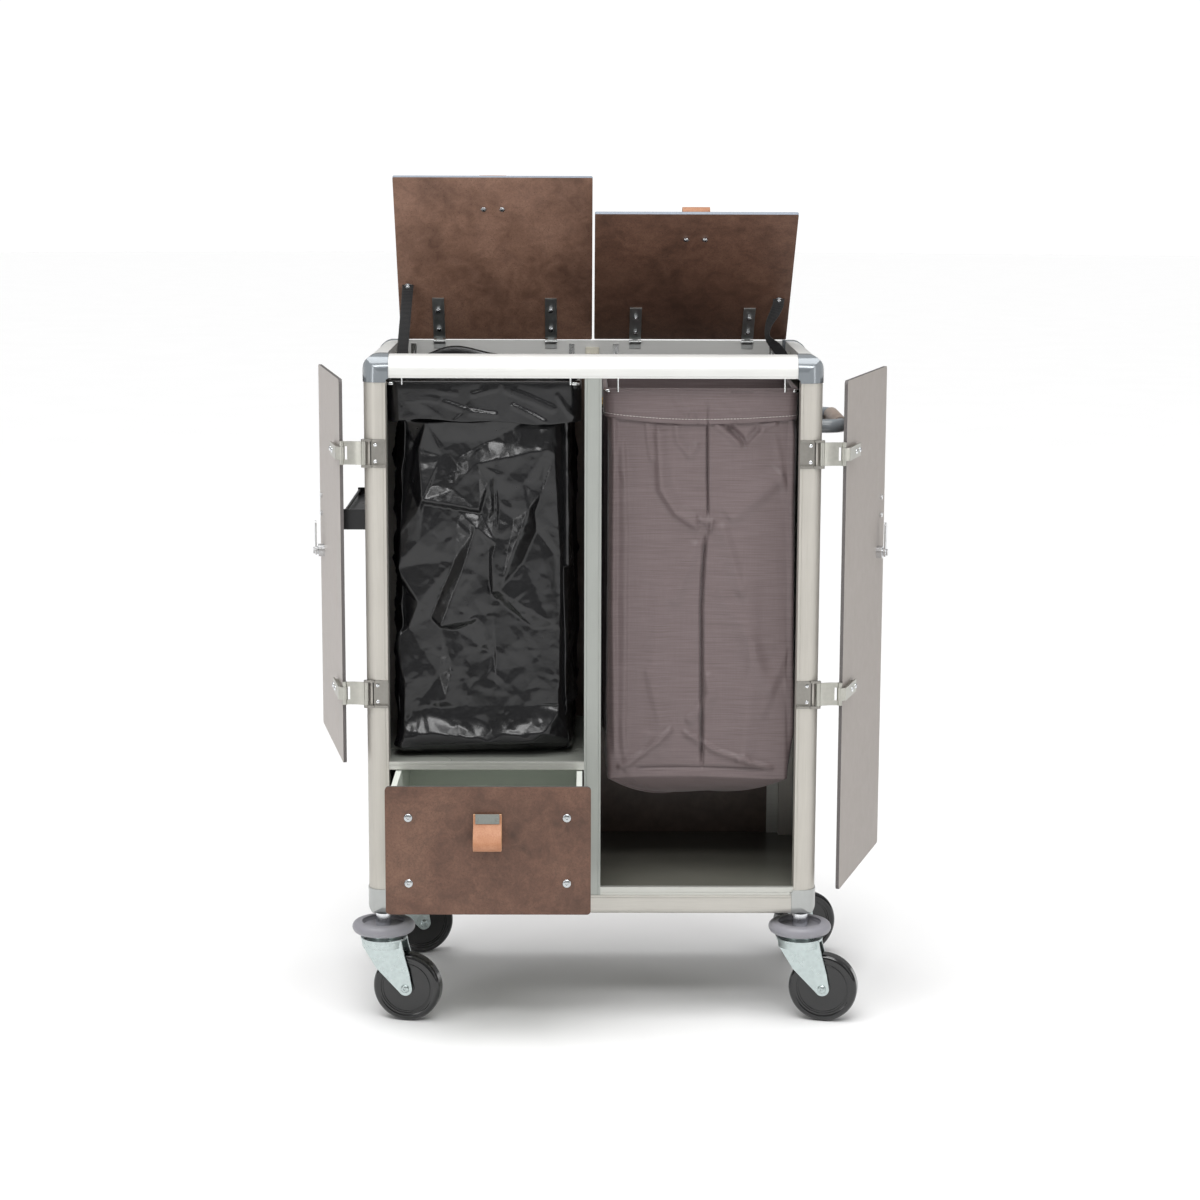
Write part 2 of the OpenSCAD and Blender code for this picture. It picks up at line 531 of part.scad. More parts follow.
// ---------- lid straps: woven webbing 21 wide ----------
brk_y = 255; brk_z = 1188; brk_x = 354;
module strap_brackets() color("dimgray") place() flip_x() {
  translate([-in_x, brk_y, brk_z - 12]) cube([25, 2.5, 24]);
  translate([-in_x, brk_y, brk_z - 12]) cube([2.5, 22, 24]);
}
// where the strap meets the underside of a lid open at angle a: [y, z]
function strap_at(a) = [lid_py + strap_y * cos(a) + 3.4 * sin(a), lid_pz - strap_y * sin(a) + 3.4 * cos(a)];
function unit(a, b) = (b - a) / norm(b - a);
function side_of(d) = [-d[1], d[0]];
function mitre(p, i) = let (d0 = i == 0 ? unit(p[0], p[1]) : unit(p[i - 1], p[i]), d1 = i == len(p) - 1 ? d0 : unit(p[i], p[i + 1]),
  m = (side_of(d0) + side_of(d1)) / norm(side_of(d0) + side_of(d1))) m * 0.7 / (m * side_of(d0));
module strap_poly(p, x0) along_x(x0, 21) polygon(concat([for (i = [0 : len(p) - 1]) p[i] + mitre(p, i)], [for (i = [len(p) - 1 : -1 : 0]) p[i] - mitre(p, i)]));
module strap_left() color([0.12, 0.12, 0.12]) place() {
  p = strap_at(lid_left_open);
  strap_poly([[brk_y - 1.5, brk_z - 11], [brk_y - 1.5, brk_z + 14], [p[0] - 12, p[1] - 16]], -brk_x - 9);
}
module strap_right() color([0.12, 0.12, 0.12]) place() {
  p = strap_at(lid_right_open);
  strap_poly([[brk_y - 1.5, brk_z - 11], [brk_y - 1.5, brk_z + 14], [brk_y + 4, p[1] - 40], [p[0] - 18, p[1] - 14]], brk_x - 14);
}

// ---------- drawer ----------
module drawer_p() translate([0, -drawer_out, 0]) children();
module drawer_holes() {
  for (x = dr_bolt_x, z = dr_bolt_z) translate([x, -20, z]) rotate([-90, 0, 0]) cylinder(40, r = 3);
  for (s = [-1, 1]) translate([dr_pull[0] + s * 17, -20, dr_pull[1]]) rotate([-90, 0, 0]) cylinder(40, r = 2.5);
}
module drawer_front() color("sienna") place() drawer_p() difference() {
  along_y(-6.5, panel_t) translate([dr_x[0], dr_z[0]]) rrect2d(dr_x[1] - dr_x[0], dr_z[1] - dr_z[0], 7);
  drawer_holes();
}
module drawer_box() color("darkseagreen") place() drawer_p() difference() {
  translate([-353, -0.5, 258]) cube([335, 375, 208]);
  translate([-343, 1.7, 262]) cube([315, 371.2, 300]);
  drawer_holes();
}
module drawer_fittings() color("silver") place() drawer_p() {
  for (x = dr_bolt_x, z = dr_bolt_z) {
    translate([x, -6.5, z]) rotate([90, 0, 0]) cup_bolt(7.6, 3.6, 3, 14);
    translate([x, 1.7, z]) rotate([-90, 0, 0]) difference() { cylinder(4.5, d = 11.5, $fn = 6); translate([0, 0, -1]) cylinder(8, r = 3); }
  }
  difference() { translate([dr_pull[0] - 21, -13.1, dr_pull[1] - 8.5]) cube([42, 1.5, 17.5]); drawer_holes(); }
  for (s = [-1, 1]) translate([dr_pull[0] + s * 17, -13.1, dr_pull[1]]) rotate([90, 0, 0]) cup_bolt(4.2, 0.8, 2.5, 16);
  translate([-360, 4, 302]) cube([7, 366, 32]);
  translate([-18, 4, 302]) cube([2.6, 366, 32]);
}
module drawer_pull() color("peru") place() drawer_p() translate([dr_pull[0], -6.55, dr_pull[1]]) rotate([0, 90, 0]) mirror([0, 1, 0]) leather_loop();
module drawer_rails() color("silver") place() {
  translate([-in_x, 4, 300]) cube([4.6, 396, 36]);
  translate([-15, 13, 300]) cube([12, 387, 36]);
}

// ---------- casters ----------
module sw(x, y) translate([x, y, 0]) children();
module stem() {
  cylinder_z(bot - 1.5, 26.5, 6);
  cylinder_z(163, bot - 1.5 - 163, 14);
  cylinder_z(146, 17.1, 8);
  cylinder_z(141, 5.1, 12);
}
module cylinder_z(z, h, r) translate([0, 0, z]) cylinder(h, r = r);
module caster_stems() color("silver") place() for (x = [-sw_x, sw_x], y = [sw_yf, sw_yr]) sw(x, y) stem();
module bumper_discs() color("gray") place() for (x = [-sw_x, sw_x], y = [sw_yf, sw_yr]) sw(x, y) rotate_extrude($fn = 96) {
  r = bumper_d / 2;
  translate([14.05, 166]) square([r - 24, 9]);
  translate([r - 18, 163]) square([8, 20]);
  translate([r - 10, 173]) circle(10);
}
module fork() {
  hw = wheel_w / 2 + 1.6;
  difference() {
    union() {
      translate([0, 0, 150]) cylinder(4, r = 42);
      difference() {
        translate([0, 0, 138]) cylinder(16, r1 = 40, r2 = 42);
        translate([0, 0, 137.9]) cylinder(12.2, r1 = 37, r2 = 39);
        translate([-60, -hw, 130]) cube([120, 2 * hw, 19]);
      }
      translate([0, 0, 154]) cylinder(7, r = 27);
      for (s = [-1, 1]) translate([0, s * (hw + 1.75) + 1.75, 0]) rotate([90, 0, 0]) linear_extrude(3.5) {
        polygon([[-36, 152], [-34, 138], [-9, 98], [trail - 10.5, axle_z - 7.5], [trail + 12.95, axle_z + 1.2], [trail + 8, 92], [40.5, 138], [38, 152]]);
        translate([trail, axle_z]) circle(13);
      }
    }
    translate([0, 0, 130]) cylinder(40, r = 8.05);
    translate([0, 0, 132]) cylinder(17.01, r = 13);
    translate([trail, 40, axle_z]) rotate([90, 0, 0]) cylinder(80, r = 4);
  }
  // axle bolt and nut
  translate([trail, -hw - 3.5, axle_z]) rotate([90, 0, 0]) cup_bolt(7.5, 4, 4, 2 * hw + 12);
  translate([trail, hw + 3.5, axle_z]) rotate([-90, 0, 0]) difference() { cylinder(5, d = 14, $fn = 6); translate([0, 0, -1]) cylinder(8, r = 4); }
}
module wheel() translate([trail, 0, axle_z]) rotate([90, 0, 0]) rotate_extrude($fn = 96) {
  R = wheel_d / 2; h = wheel_w / 2;
  translate([4.06, -h]) square([11, 2 * h]);
  translate([10, 2.5 - h]) square([R - 20, 2 * h - 5]);
  difference() {
    translate([R - 19, 1 - h]) square([13, 2 * h - 2]);
    for (s = [-1, 1]) translate([R - 17.4, s * (h - 1.2) - 1.3]) square([2.2, 2.6]);
  }
  translate([R - 10, 7 - h]) square([10, 2 * h - 14]);
  for (s = [-1, 1]) translate([R - 8, s * (h - 8)]) circle(8);
}
module caster(sx, y, a) translate([sx * sw_x, y, 0]) rotate([0, 0, a]) children();
module fork_front_left() color("lightsteelblue") place() caster(-1, sw_yf, yaw_f) fork();
module fork_front_right() color("lightsteelblue") place() caster(1, sw_yf, yaw_f) fork();
module fork_rear_left() color("lightsteelblue") place() caster(-1, sw_yr, yaw_r) fork();
module fork_rear_right() color("lightsteelblue") place() caster(1, sw_yr, yaw_r) fork();
module wheel_front_left() color([0.08, 0.08, 0.08]) place() caster(-1, sw_yf, yaw_f) wheel();
module wheel_front_right() color([0.08, 0.08, 0.08]) place() caster(1, sw_yf, yaw_f) wheel();
module wheel_rear_left() color([0.08, 0.08, 0.08]) place() caster(-1, sw_yr, yaw_r) wheel();
module wheel_rear_right() color([0.08, 0.08, 0.08]) place() caster(1, sw_yr, yaw_r) wheel();

posts_front();
posts_rear();
post_centre();
top_rails();
bottom_rails();
top_connectors();
bottom_connectors();
outer_panels();
divider_panel();
floor_panel();
shelf_panel();
edge_lips();
bag_frames();
trash_bag();
laundry_bag();
push_handle();
handle_grip();
accessory_rail();
hinge_clips();
hinge_pins();
frame_screws();
lid_hinge_bases();
strap_left();
strap_right();
strap_brackets();
drawer_rails();
caster_stems();
bumper_discs();
hinge_arms_left();
hinge_arms_right();
door_left();
door_straps_left();
door_bolts_left();
door_pull_left();
door_right();
door_straps_right();
door_bolts_right();
door_pull_right();
latch_left();
latch_right();
lid_left();
lid_leaves_left();
lid_bolts_left();
lid_pull_left();
lid_right();
lid_leaves_right();
lid_bolts_right();
lid_pull_right();
drawer_front();
drawer_box();
drawer_fittings();
drawer_pull();
fork_front_left();
fork_front_right();
fork_rear_left();
fork_rear_right();
wheel_front_left();
wheel_front_right();
wheel_rear_left();
wheel_rear_right();
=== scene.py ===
import bpy, math
import numpy as np
from mathutils import Matrix, Vector


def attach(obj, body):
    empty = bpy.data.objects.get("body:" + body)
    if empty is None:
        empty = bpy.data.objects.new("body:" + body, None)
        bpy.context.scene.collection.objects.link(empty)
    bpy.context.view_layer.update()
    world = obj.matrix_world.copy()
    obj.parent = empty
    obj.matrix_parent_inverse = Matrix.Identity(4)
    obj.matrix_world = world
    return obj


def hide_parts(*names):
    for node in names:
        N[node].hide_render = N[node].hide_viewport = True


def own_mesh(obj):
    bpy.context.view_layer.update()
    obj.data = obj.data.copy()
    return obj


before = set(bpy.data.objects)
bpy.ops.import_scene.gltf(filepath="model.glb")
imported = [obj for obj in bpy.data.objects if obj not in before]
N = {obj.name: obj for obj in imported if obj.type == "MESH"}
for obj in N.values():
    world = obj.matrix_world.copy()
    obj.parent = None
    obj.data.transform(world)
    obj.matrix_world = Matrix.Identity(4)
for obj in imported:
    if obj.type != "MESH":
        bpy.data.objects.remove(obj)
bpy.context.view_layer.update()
XO, YO = -15.45, -147.5


def C(x, y, z):
    """cart millimetres (x 0 at the frame's middle, y 0 at its front) to row metres"""
    return Vector(((x + XO) / 1000, (y + YO) / 1000, z / 1000))


# ------------------------------------------------------------------ camera
def look():
    yaw, pit, rol = .0056, .1663, .0031
    f = 2634.1
    fw = Vector((math.sin(yaw) * math.cos(pit), math.cos(yaw) * math.cos(pit), -math.sin(pit)))
    rt = Vector((math.cos(yaw), -math.sin(yaw), 0))
    dn = fw.cross(rt)
    r2 = math.cos(rol) * rt - math.sin(rol) * dn
    d2 = math.sin(rol) * rt + math.cos(rol) * dn
    cam = bpy.data.cameras.new("camera")
    cam.sensor_width = 36
    cam.lens = f / 1200 * 36
    cam.clip_end = 100
    ob = bpy.data.objects.new("camera", cam)
    bpy.context.scene.collection.objects.link(ob)
    p = C(-12.9, -4616.3, 1553.4)
    m = Matrix.Identity(4)
    for i in range(3):
        m[i][0], m[i][1], m[i][2], m[i][3] = r2[i], -d2[i], -fw[i], p[i]
    ob.matrix_world = m
    bpy.context.scene.camera = ob


look()


# ------------------------------------------------------------------ materials
class Mat:
    def __init__(self, name, **k):
        self.m = bpy.data.materials.new(name)
        self.m.use_nodes = True
        self.t = self.m.node_tree
        self.n = self.t.nodes
        self.b = self.n["Principled BSDF"]
        self.tc = self.n.new("ShaderNodeTexCoord")
        for key, v in k.items():
            self.set(key, v)

    names = {"base": "Base Color", "rough": "Roughness", "metal": "Metallic", "spec": "Specular IOR Level", "coat": "Coat Weight",
             "coat_rough": "Coat Roughness", "sheen": "Sheen Weight", "sheen_rough": "Sheen Roughness", "ior": "IOR", "aniso": "Anisotropic",
             "normal": "Normal", "sheen_tint": "Sheen Tint"}

    def set(self, key, v):
        s = self.b.inputs[self.names[key]]
        if isinstance(v, bpy.types.NodeSocket):
            self.t.links.new(v, s)
        elif isinstance(v, (tuple, list)):
            s.default_value = (*v, 1) if len(v) == 3 else v
        else:
            s.default_value = v

    def node(self, kind, **props):
        x = self.n.new(kind)
        for key, v in props.items():
            setattr(x, key, v)
        return x

    def link(self, v, s):
        if isinstance(v, bpy.types.NodeSocket):
            self.t.links.new(v, s)
        elif isinstance(v, (tuple, list)) and len(v) == 3 and s.type == "RGBA":
            s.default_value = (*v, 1)
        else:
            s.default_value = v

    def pos(self, scale=(1, 1, 1), loc=(0, 0, 0)):
        x = self.node("ShaderNodeMapping")
        self.t.links.new(self.tc.outputs["Object"], x.inputs["Vector"])
        x.inputs["Scale"].default_value = scale
        x.inputs["Location"].default_value = loc
        return x.outputs[0]

    def noise(self, scale, detail=3, rough=.5, vec=(1, 1, 1), loc=(0, 0, 0), dist=0):
        x = self.node("ShaderNodeTexNoise")
        self.t.links.new(self.pos(vec, loc), x.inputs["Vector"])
        x.inputs["Scale"].default_value = scale
        x.inputs["Detail"].default_value = detail
        x.inputs["Roughness"].default_value = rough
        x.inputs["Distortion"].default_value = dist
        return x.outputs["Fac"]

    def voro(self, scale, feature="F1", vec=(1, 1, 1), rand=1):
        x = self.node("ShaderNodeTexVoronoi", feature=feature)
        self.t.links.new(self.pos(vec), x.inputs["Vector"])
        x.inputs["Scale"].default_value = scale
        x.inputs["Randomness"].default_value = rand
        return x.outputs["Distance"]

    def wave(self, scale, axis="X", dist=0.0):
        x = self.node("ShaderNodeTexWave", bands_direction=axis)
        self.t.links.new(self.pos(), x.inputs["Vector"])
        x.inputs["Scale"].default_value = scale
        x.inputs["Distortion"].default_value = dist
        return x.outputs["Fac"]

    def ramp(self, fac, stops):
        x = self.node("ShaderNodeValToRGB")
        self.link(fac, x.inputs["Fac"])
        e = x.color_ramp.elements
        while len(e) < len(stops):
            e.new(.5)
        for i, (p, c) in enumerate(stops):
            e[i].position = p
            e[i].color = (*c, 1) if isinstance(c, (tuple, list)) else (c, c, c, 1)
        return x.outputs["Color"]

    def mix(self, fac, a, b, mode="MIX"):
        x = self.node("ShaderNodeMix", data_type="RGBA", blend_type=mode)
        self.link(fac, x.inputs["Factor"])
        self.link(a, x.inputs[6])
        self.link(b, x.inputs[7])
        return x.outputs[2]

    def math(self, op, a, b=0.0, c=None):
        x = self.node("ShaderNodeMath", operation=op)
        self.link(a, x.inputs[0])
        self.link(b, x.inputs[1])
        if c is not None:
            self.link(c, x.inputs[2])
        return x.outputs[0]

    def ndot(self, v):
        x = self.node("ShaderNodeVectorMath", operation="DOT_PRODUCT")
        self.t.links.new(self.tc.outputs["Normal"], x.inputs[0])
        x.inputs[1].default_value = v
        return x.outputs["Value"]

    def sep(self):
        x = self.node("ShaderNodeSeparateXYZ")
        self.t.links.new(self.tc.outputs["Object"], x.inputs[0])
        return x.outputs

    def edge_wear(self, radius=.0015):
        """light line where the surface bends sharply: geometry pointiness is not used, so it bakes"""
        x = self.node("ShaderNodeBevel", samples=4)
        x.inputs["Radius"].default_value = radius
        return x.outputs["Normal"]

    def bump(self, h, strength=.3, dist=.001, bevel=0.0):
        x = self.node("ShaderNodeBump")
        x.inputs["Strength"].default_value = strength
        x.inputs["Distance"].default_value = dist
        self.t.links.new(h, x.inputs["Height"])
        if bevel:
            self.t.links.new(self.edge_wear(bevel), x.inputs["Normal"])
        self.set("normal", x.outputs[0])
        return x.outputs[0]


def hexc(h):
    c = [int(h[i:i + 2], 16) / 255 for i in (1, 3, 5)]
    return tuple(v / 12.92 if v <= .04045 else ((v + .055) / 1.055) ** 2.4 for v in c)


def paint(names, mat):
    for n in names if isinstance(names, (list, tuple)) else [names]:
        o = N[n]
        o.data.materials.clear()
        o.data.materials.append(mat)
        for p in o.data.polygons:
            p.material_index = 0


def laminate(m, dark, mid, light, seed=0.0):
    """mottled rust and leather look: soft clouds, smaller blotches and fine dark specks. Returns colour and roughness."""
    cloud = m.noise(7, 5, .62, loc=(seed, seed * .7, seed * .3), dist=.4)
    blot = m.noise(38, 6, .65, loc=(seed * 2, 0, seed), dist=.8)
    fine = m.noise(260, 4, .6)
    speck = m.noise(620, 2, .5)
    a = m.ramp(cloud, [(.34, dark), (.5, mid), (.68, light)])
    b = m.ramp(blot, [(.35, dark), (.52, mid), (.72, light)])
    c = m.mix(.42, a, b)
    c = m.mix(m.math("MULTIPLY", m.ramp(fine, [(.42, 1.0), (.56, 0.0)]), .45), c, m.mix(.5, c, dark))
    c = m.mix(m.ramp(speck, [(.30, .75), (.38, 0.0)]), c, tuple(v * .35 for v in dark))
    r = m.math("MULTIPLY_ADD", blot, .25, .38)
    h = m.math("ADD", m.math("MULTIPLY", blot, .6), m.math("MULTIPLY", fine, .5))
    return c, r, h


def panel(name, n_out, dark, mid, light, inner=None, edge=("#3B3A3C",), seed=0.0, line=None):
    """6 mm compact laminate: outer decor, optional plain inner face, dark core at the edges"""
    m = Mat(name, spec=.45)
    c, r, h = laminate(m, dark, mid, light, seed)
    d = m.ndot(n_out)
    if inner:
        ic = m.mix(m.ramp(m.noise(900, 2, .5), [(.35, .0), (.7, 1.0)]), hexc(inner), tuple(v * .88 for v in hexc(inner)))
        ic = m.mix(m.noise(4, 3, .5), ic, tuple(v * .93 for v in hexc(inner)))
        c = m.mix(m.math("LESS_THAN", d, -.5), c, ic)
    e = m.math("LESS_THAN", m.math("ABSOLUTE", d), .5)
    ec = m.ramp(m.noise(500, 3, .6), [(.3, hexc(edge[0])), (.75, tuple(min(1, v * 1.5) for v in hexc(edge[0])))])
    c = m.mix(e, c, ec)
    m.set("base", c)
    m.set("rough", r)
    m.bump(h, .22, .0006, bevel=.0008)
    return m.m


lam_dark, lam_mid, lam_light = hexc("#432F25"), hexc("#644739"), hexc("#7A5B4A")
# painted light: the left lid's browns are a lighter copy of the same laminate, standing in for the light its upturned
# face catches
lit_lid_dark, lit_lid_mid, lit_lid_light = hexc("#5A4135"), hexc("#80604F"), hexc("#977564")
LL, LR = math.radians(11.45), math.radians(17.5)
ul = Vector((-math.sin(LL), math.cos(LL), 0)); vl = Vector((-ul.y, ul.x, 0))
ur = Vector((math.sin(LR), math.cos(LR), 0)); vr = Vector((ur.y, -ur.x, 0))
paint("door_left", panel("door_left_laminate", tuple(-vl), lam_dark, lam_mid, lam_light, inner="#B3ACA7", edge=("#54504F",), seed=1.3))
# painted shade: the right door's inner face is given a darker grey than the left door's, for the same board
paint("door_right", panel("door_right_laminate", tuple(-vr), lam_dark, lam_mid, lam_light, inner="#A49C96", edge=("#54504F",), seed=4.1))
tl, tr = math.radians(58.5), math.radians(42.3)
paint("lid_left", panel("lid_left_laminate", (0, math.sin(tl), math.cos(tl)), lit_lid_dark, lit_lid_mid, lit_lid_light, edge=("#7E8691",), seed=7.7))
paint("lid_right", panel("lid_right_laminate", (0, math.sin(tr), math.cos(tr)), lam_dark, lam_mid, lam_light, edge=("#7E8691",), seed=2.9))
paint("drawer_front", panel("drawer_front_laminate", (0, -1, 0), lam_dark, lam_mid, lam_light, edge=("#54504F",), seed=5.4))


def outer_panel():
    m = Mat("side_and_rear_laminate", spec=.45)
    c, r, h = laminate(m, lam_dark, lam_mid, lam_light, 9.2)
    s = m.sep()
    nx, ny = m.ndot((1, 0, 0)), m.ndot((0, 1, 0))
    out = m.math("GREATER_THAN", m.math("MULTIPLY", m.math("ADD", s[0], .01545), nx), .1)
    out = m.math("MAXIMUM", out, m.math("GREATER_THAN", ny, .5))
    # painted shade: the side panels' inner faces are the brown laminate painted near black; the rear panel's inner face
    # gets a mid brown instead
    inner = m.ramp(m.noise(30, 4, .6), [(.3, hexc("#1C1613")), (.7, hexc("#2C231F"))])
    back = m.math("LESS_THAN", ny, -.5)
    inner = m.mix(back, inner, m.ramp(m.noise(30, 4, .6), [(.3, hexc("#4E3F36")), (.7, hexc("#665347"))]))
    m.set("base", m.mix(out, inner, c))
    m.set("rough", m.math("MULTIPLY_ADD", out, .12, .34))
    m.bump(h, .2, .0005)
    return m.m


paint("outer_panels", outer_panel())


def anodised(name, col, rough=.36, metal=.75, grain=(1, 1, .02), amount=.1):
    """satin anodised aluminium: fine extrusion lines, faint mottling and handling marks in the gloss"""
    m = Mat(name, metal=metal)
    lines = m.noise(900, 2, .5, vec=grain)
    cloud = m.noise(9, 4, .6)
    base = hexc(col)
    m.set("base", m.ramp(m.math("MULTIPLY_ADD", lines, .5, m.math("MULTIPLY", cloud, .5)),
                         [(.3, tuple(v * (1 - amount) for v in base)), (.7, tuple(min(1, v * (1 + amount * .4)) for v in base))]))
    m.set("rough", m.math("MULTIPLY_ADD", cloud, .14, rough - .05))
    m.bump(lines, .10, .0002, bevel=.0006)
    return m.m


post_mat = anodised("anodised_posts", "#BDB9B1", metal=.35, rough=.4)
paint(["posts_front", "posts_rear"], post_mat)
paint("post_centre", anodised("anodised_centre_post", "#A2A5A0", metal=.35, rough=.4))
paint("edge_lips", anodised("anodised_lips", "#C2C2BC", metal=.4, grain=(.02, 1, 1)))
paint("bottom_rails", anodised("anodised_bottom_rails", "#BDBAB3", metal=.4, grain=(.02, .02, 1)))
# painted light: the top rails get a whiter grey than the posts of the same anodised aluminium, for the overhead light
# their rounded tops catch
paint("top_rails", anodised("anodised_top_rails", "#DCDCD9", rough=.42, metal=.25, grain=(.02, .02, 1), amount=.05))


def casting(name, col, rough, metal, coat):
    m = Mat(name, metal=metal, coat=coat, coat_rough=.08)
    cloud = m.noise(24, 4, .6)
    base = hexc(col)
    m.set("base", m.ramp(cloud, [(.3, tuple(v * .9 for v in base)), (.7, base)]))
    m.set("rough", m.math("MULTIPLY_ADD", cloud, .12, rough))
    m.bump(m.noise(420, 3, .55), .08, .0003, bevel=.0015)
    return m.m


paint("top_connectors", casting("glossy_grey_casting", "#7C8287", .12, .35, .7))
paint("bottom_connectors", casting("silver_casting", "#AEB0AE", .24, .45, .3))


def shelf(name, a, b, rough=.24):
    m = Mat(name, spec=.5)
    n1, n2 = m.noise(300, 3, .6), m.noise(5, 3, .5)
    m.set("base", m.mix(m.math("MULTIPLY", n1, .5), m.ramp(n2, [(.3, hexc(a)), (.7, hexc(b))]), hexc(a)))
    m.set("rough", m.math("MULTIPLY_ADD", n2, .16, rough - .08))
    m.bump(n1, .1, .0002, bevel=.0008)
    return m.m


paint("floor_panel", shelf("grey_green_floor", "#66665E", "#73726A", .24))
paint("shelf_panel", shelf("grey_green_shelf", "#8A8D86", "#979A93", .26))
paint("divider_panel", shelf("divider_panel_laminate", "#5E5650", "#6A625B", .36))
paint("drawer_box", shelf("drawer_box_lacquer", "#DDE2DA", "#E6EAE2", .42))


def metal(name, col, rough=.3, amount=.12, scale=60, bump=.15, bevel=.0005, aniso=0.0):
    """zinc or steel: crystalline clouding in colour and gloss, fine scuffs, softened edges"""
    m = Mat(name, metal=1.0, aniso=aniso)
    sp = m.voro(scale * 3)
    cl = m.noise(scale, 4, .6)
    base = hexc(col)
    f = m.math("MULTIPLY_ADD", sp, .35, m.math("MULTIPLY", cl, .65))
    m.set("base", m.ramp(f, [(.25, tuple(v * (1 - amount) for v in base)), (.7, base)]))
    m.set("rough", m.math("MULTIPLY_ADD", cl, .22, rough - .1))
    m.bump(m.noise(700, 3, .6), bump, .00015, bevel=bevel)
    return m.m


zinc = metal("satin_zinc", "#B9B8B0", .36)
paint("hinge_clips", metal("grey_clips", "#9B9892", .38))
paint(["hinge_arms_left", "hinge_arms_right", "door_straps_left", "door_straps_right", "strap_brackets"], zinc)
paint(["lid_hinge_bases", "lid_leaves_left", "lid_leaves_right"], metal("grey_zinc", "#C2C4C3", .45))
bright = metal("bright_bolts", "#E2E4E6", .18, .08, 120, .08, .0004)
paint(["hinge_pins", "frame_screws", "door_bolts_left", "door_bolts_right", "lid_bolts_left", "lid_bolts_right", "latch_left", "latch_right", "caster_stems"], bright)
paint("drawer_rails", metal("slide_steel", "#C9CCCB", .32))


def fittings_mat():
    """bright bolts and slides, and the pull's plain satin grey plate, told apart by where they are"""
    m = Mat("drawer_bolts_and_plate")
    s = m.sep()
    cx, cz = (-183 + XO) / 1000, .416
    inx = m.math("LESS_THAN", m.math("ABSOLUTE", m.math("SUBTRACT", s[0], cx)), .0215)
    inz = m.math("LESS_THAN", m.math("ABSOLUTE", m.math("SUBTRACT", s[2], cz)), .0092)
    plate = m.math("MULTIPLY", inx, inz)
    cl, fi = m.noise(70, 4, .6), m.noise(500, 3, .6)
    steel = m.ramp(cl, [(.3, hexc("#A9ADAE")), (.7, hexc("#C6C9CA"))])
    grey = m.ramp(fi, [(.3, hexc("#7A7E79")), (.7, hexc("#858984"))])
    m.set("base", m.mix(plate, steel, grey))
    m.set("metal", m.math("MULTIPLY_ADD", plate, -.75, 1.0))
    m.set("rough", m.math("MULTIPLY_ADD", plate, .2, m.math("MULTIPLY_ADD", cl, .14, .16)))
    m.bump(fi, .08, .00015, bevel=.0004)
    return m.m


paint("drawer_fittings", fittings_mat())
paint("bag_frames", metal("bright_wire", "#DADCDC", .16, .06, 140, .05, .0))
paint(["fork_front_left", "fork_front_right", "fork_rear_left", "fork_rear_right"], metal("blue_zinc_forks", "#C2CDCC", .28, .16, 45, .18, .0012))


def plastic(name, col, rough, coat=0.0, grain=500, bump=.1, var=.12, spec=.5, bevel=.001):
    m = Mat(name, coat=coat, coat_rough=.06, spec=spec)
    cl, gr = m.noise(18, 4, .6), m.noise(grain, 3, .6)
    base = hexc(col)
    m.set("base", m.ramp(cl, [(.3, tuple(v * (1 - var) for v in base)), (.7, tuple(min(1, v * (1 + var * .6)) for v in base))]))
    m.set("rough", m.math("MULTIPLY_ADD", cl, .16, rough - .08))
    m.bump(gr, bump, .0003, bevel=bevel)
    return m.m


paint(["wheel_front_left", "wheel_front_right", "wheel_rear_left", "wheel_rear_right"], plastic("black_polyamide_wheels", "#0C0C0D", .16, .45, 700, .05, .25))
paint("bumper_discs", plastic("grey_bumper_rubber", "#8C8B91", .42, .1, 800, .12, .07))
paint("push_handle", plastic("grey_handle_tube", "#8A9095", .22, .3, 600, .08, .06))
paint("accessory_rail", plastic("black_anodised_rail", "#17181A", .3, .1, 700, .12, .2))


def grip():
    m = Mat("taupe_foam_grip", sheen=.25)
    v = m.voro(900)
    cl = m.noise(25, 4, .6)
    # painted shade: the base colour darkens in the pits of the foam, where the bump is lowest
    m.set("base", m.mix(m.ramp(v, [(.1, .45), (.5, 0.0)]), m.ramp(cl, [(.3, hexc("#97867A")), (.7, hexc("#B09F92"))]), hexc("#6E6056")))
    m.set("rough", .78)
    m.bump(v, .5, .0006)
    return m.m


paint("handle_grip", grip())


# ------------------------------------------------------------------ mesh helpers
def mesh_obj(name, verts, faces, mat, smooth=True, uv=None):
    me = bpy.data.meshes.new(name)
    me.from_pydata([tuple(v) for v in verts], [], faces)
    me.update()
    if smooth:
        me.polygons.foreach_set("use_smooth", [True] * len(me.polygons))
    ob = bpy.data.objects.new(name, me)
    bpy.context.scene.collection.objects.link(ob)
    if mat:
        me.materials.append(mat)
    return ob


def grid_faces(nu, nv, closed_u=False):
    f = []
    for j in range(nv - 1):
        for i in range(nu if closed_u else nu - 1):
            a, b = j * nu + i, j * nu + (i + 1) % nu
            f.append((a, b, b + nu, a + nu))
    return f


def apply_mods(ob):
    bpy.context.view_layer.update()
    dg = bpy.context.evaluated_depsgraph_get()
    me = bpy.data.meshes.new_from_object(ob.evaluated_get(dg))
    ob.modifiers.clear()
    ob.data = me


def solid(ob, t, offset=0.0, rim=None):
    md = ob.modifiers.new("thick", "SOLIDIFY")
    md.thickness = t
    md.offset = offset
    md.use_even_offset = False
    if rim is not None:
        md.material_offset_rim = rim
    return md


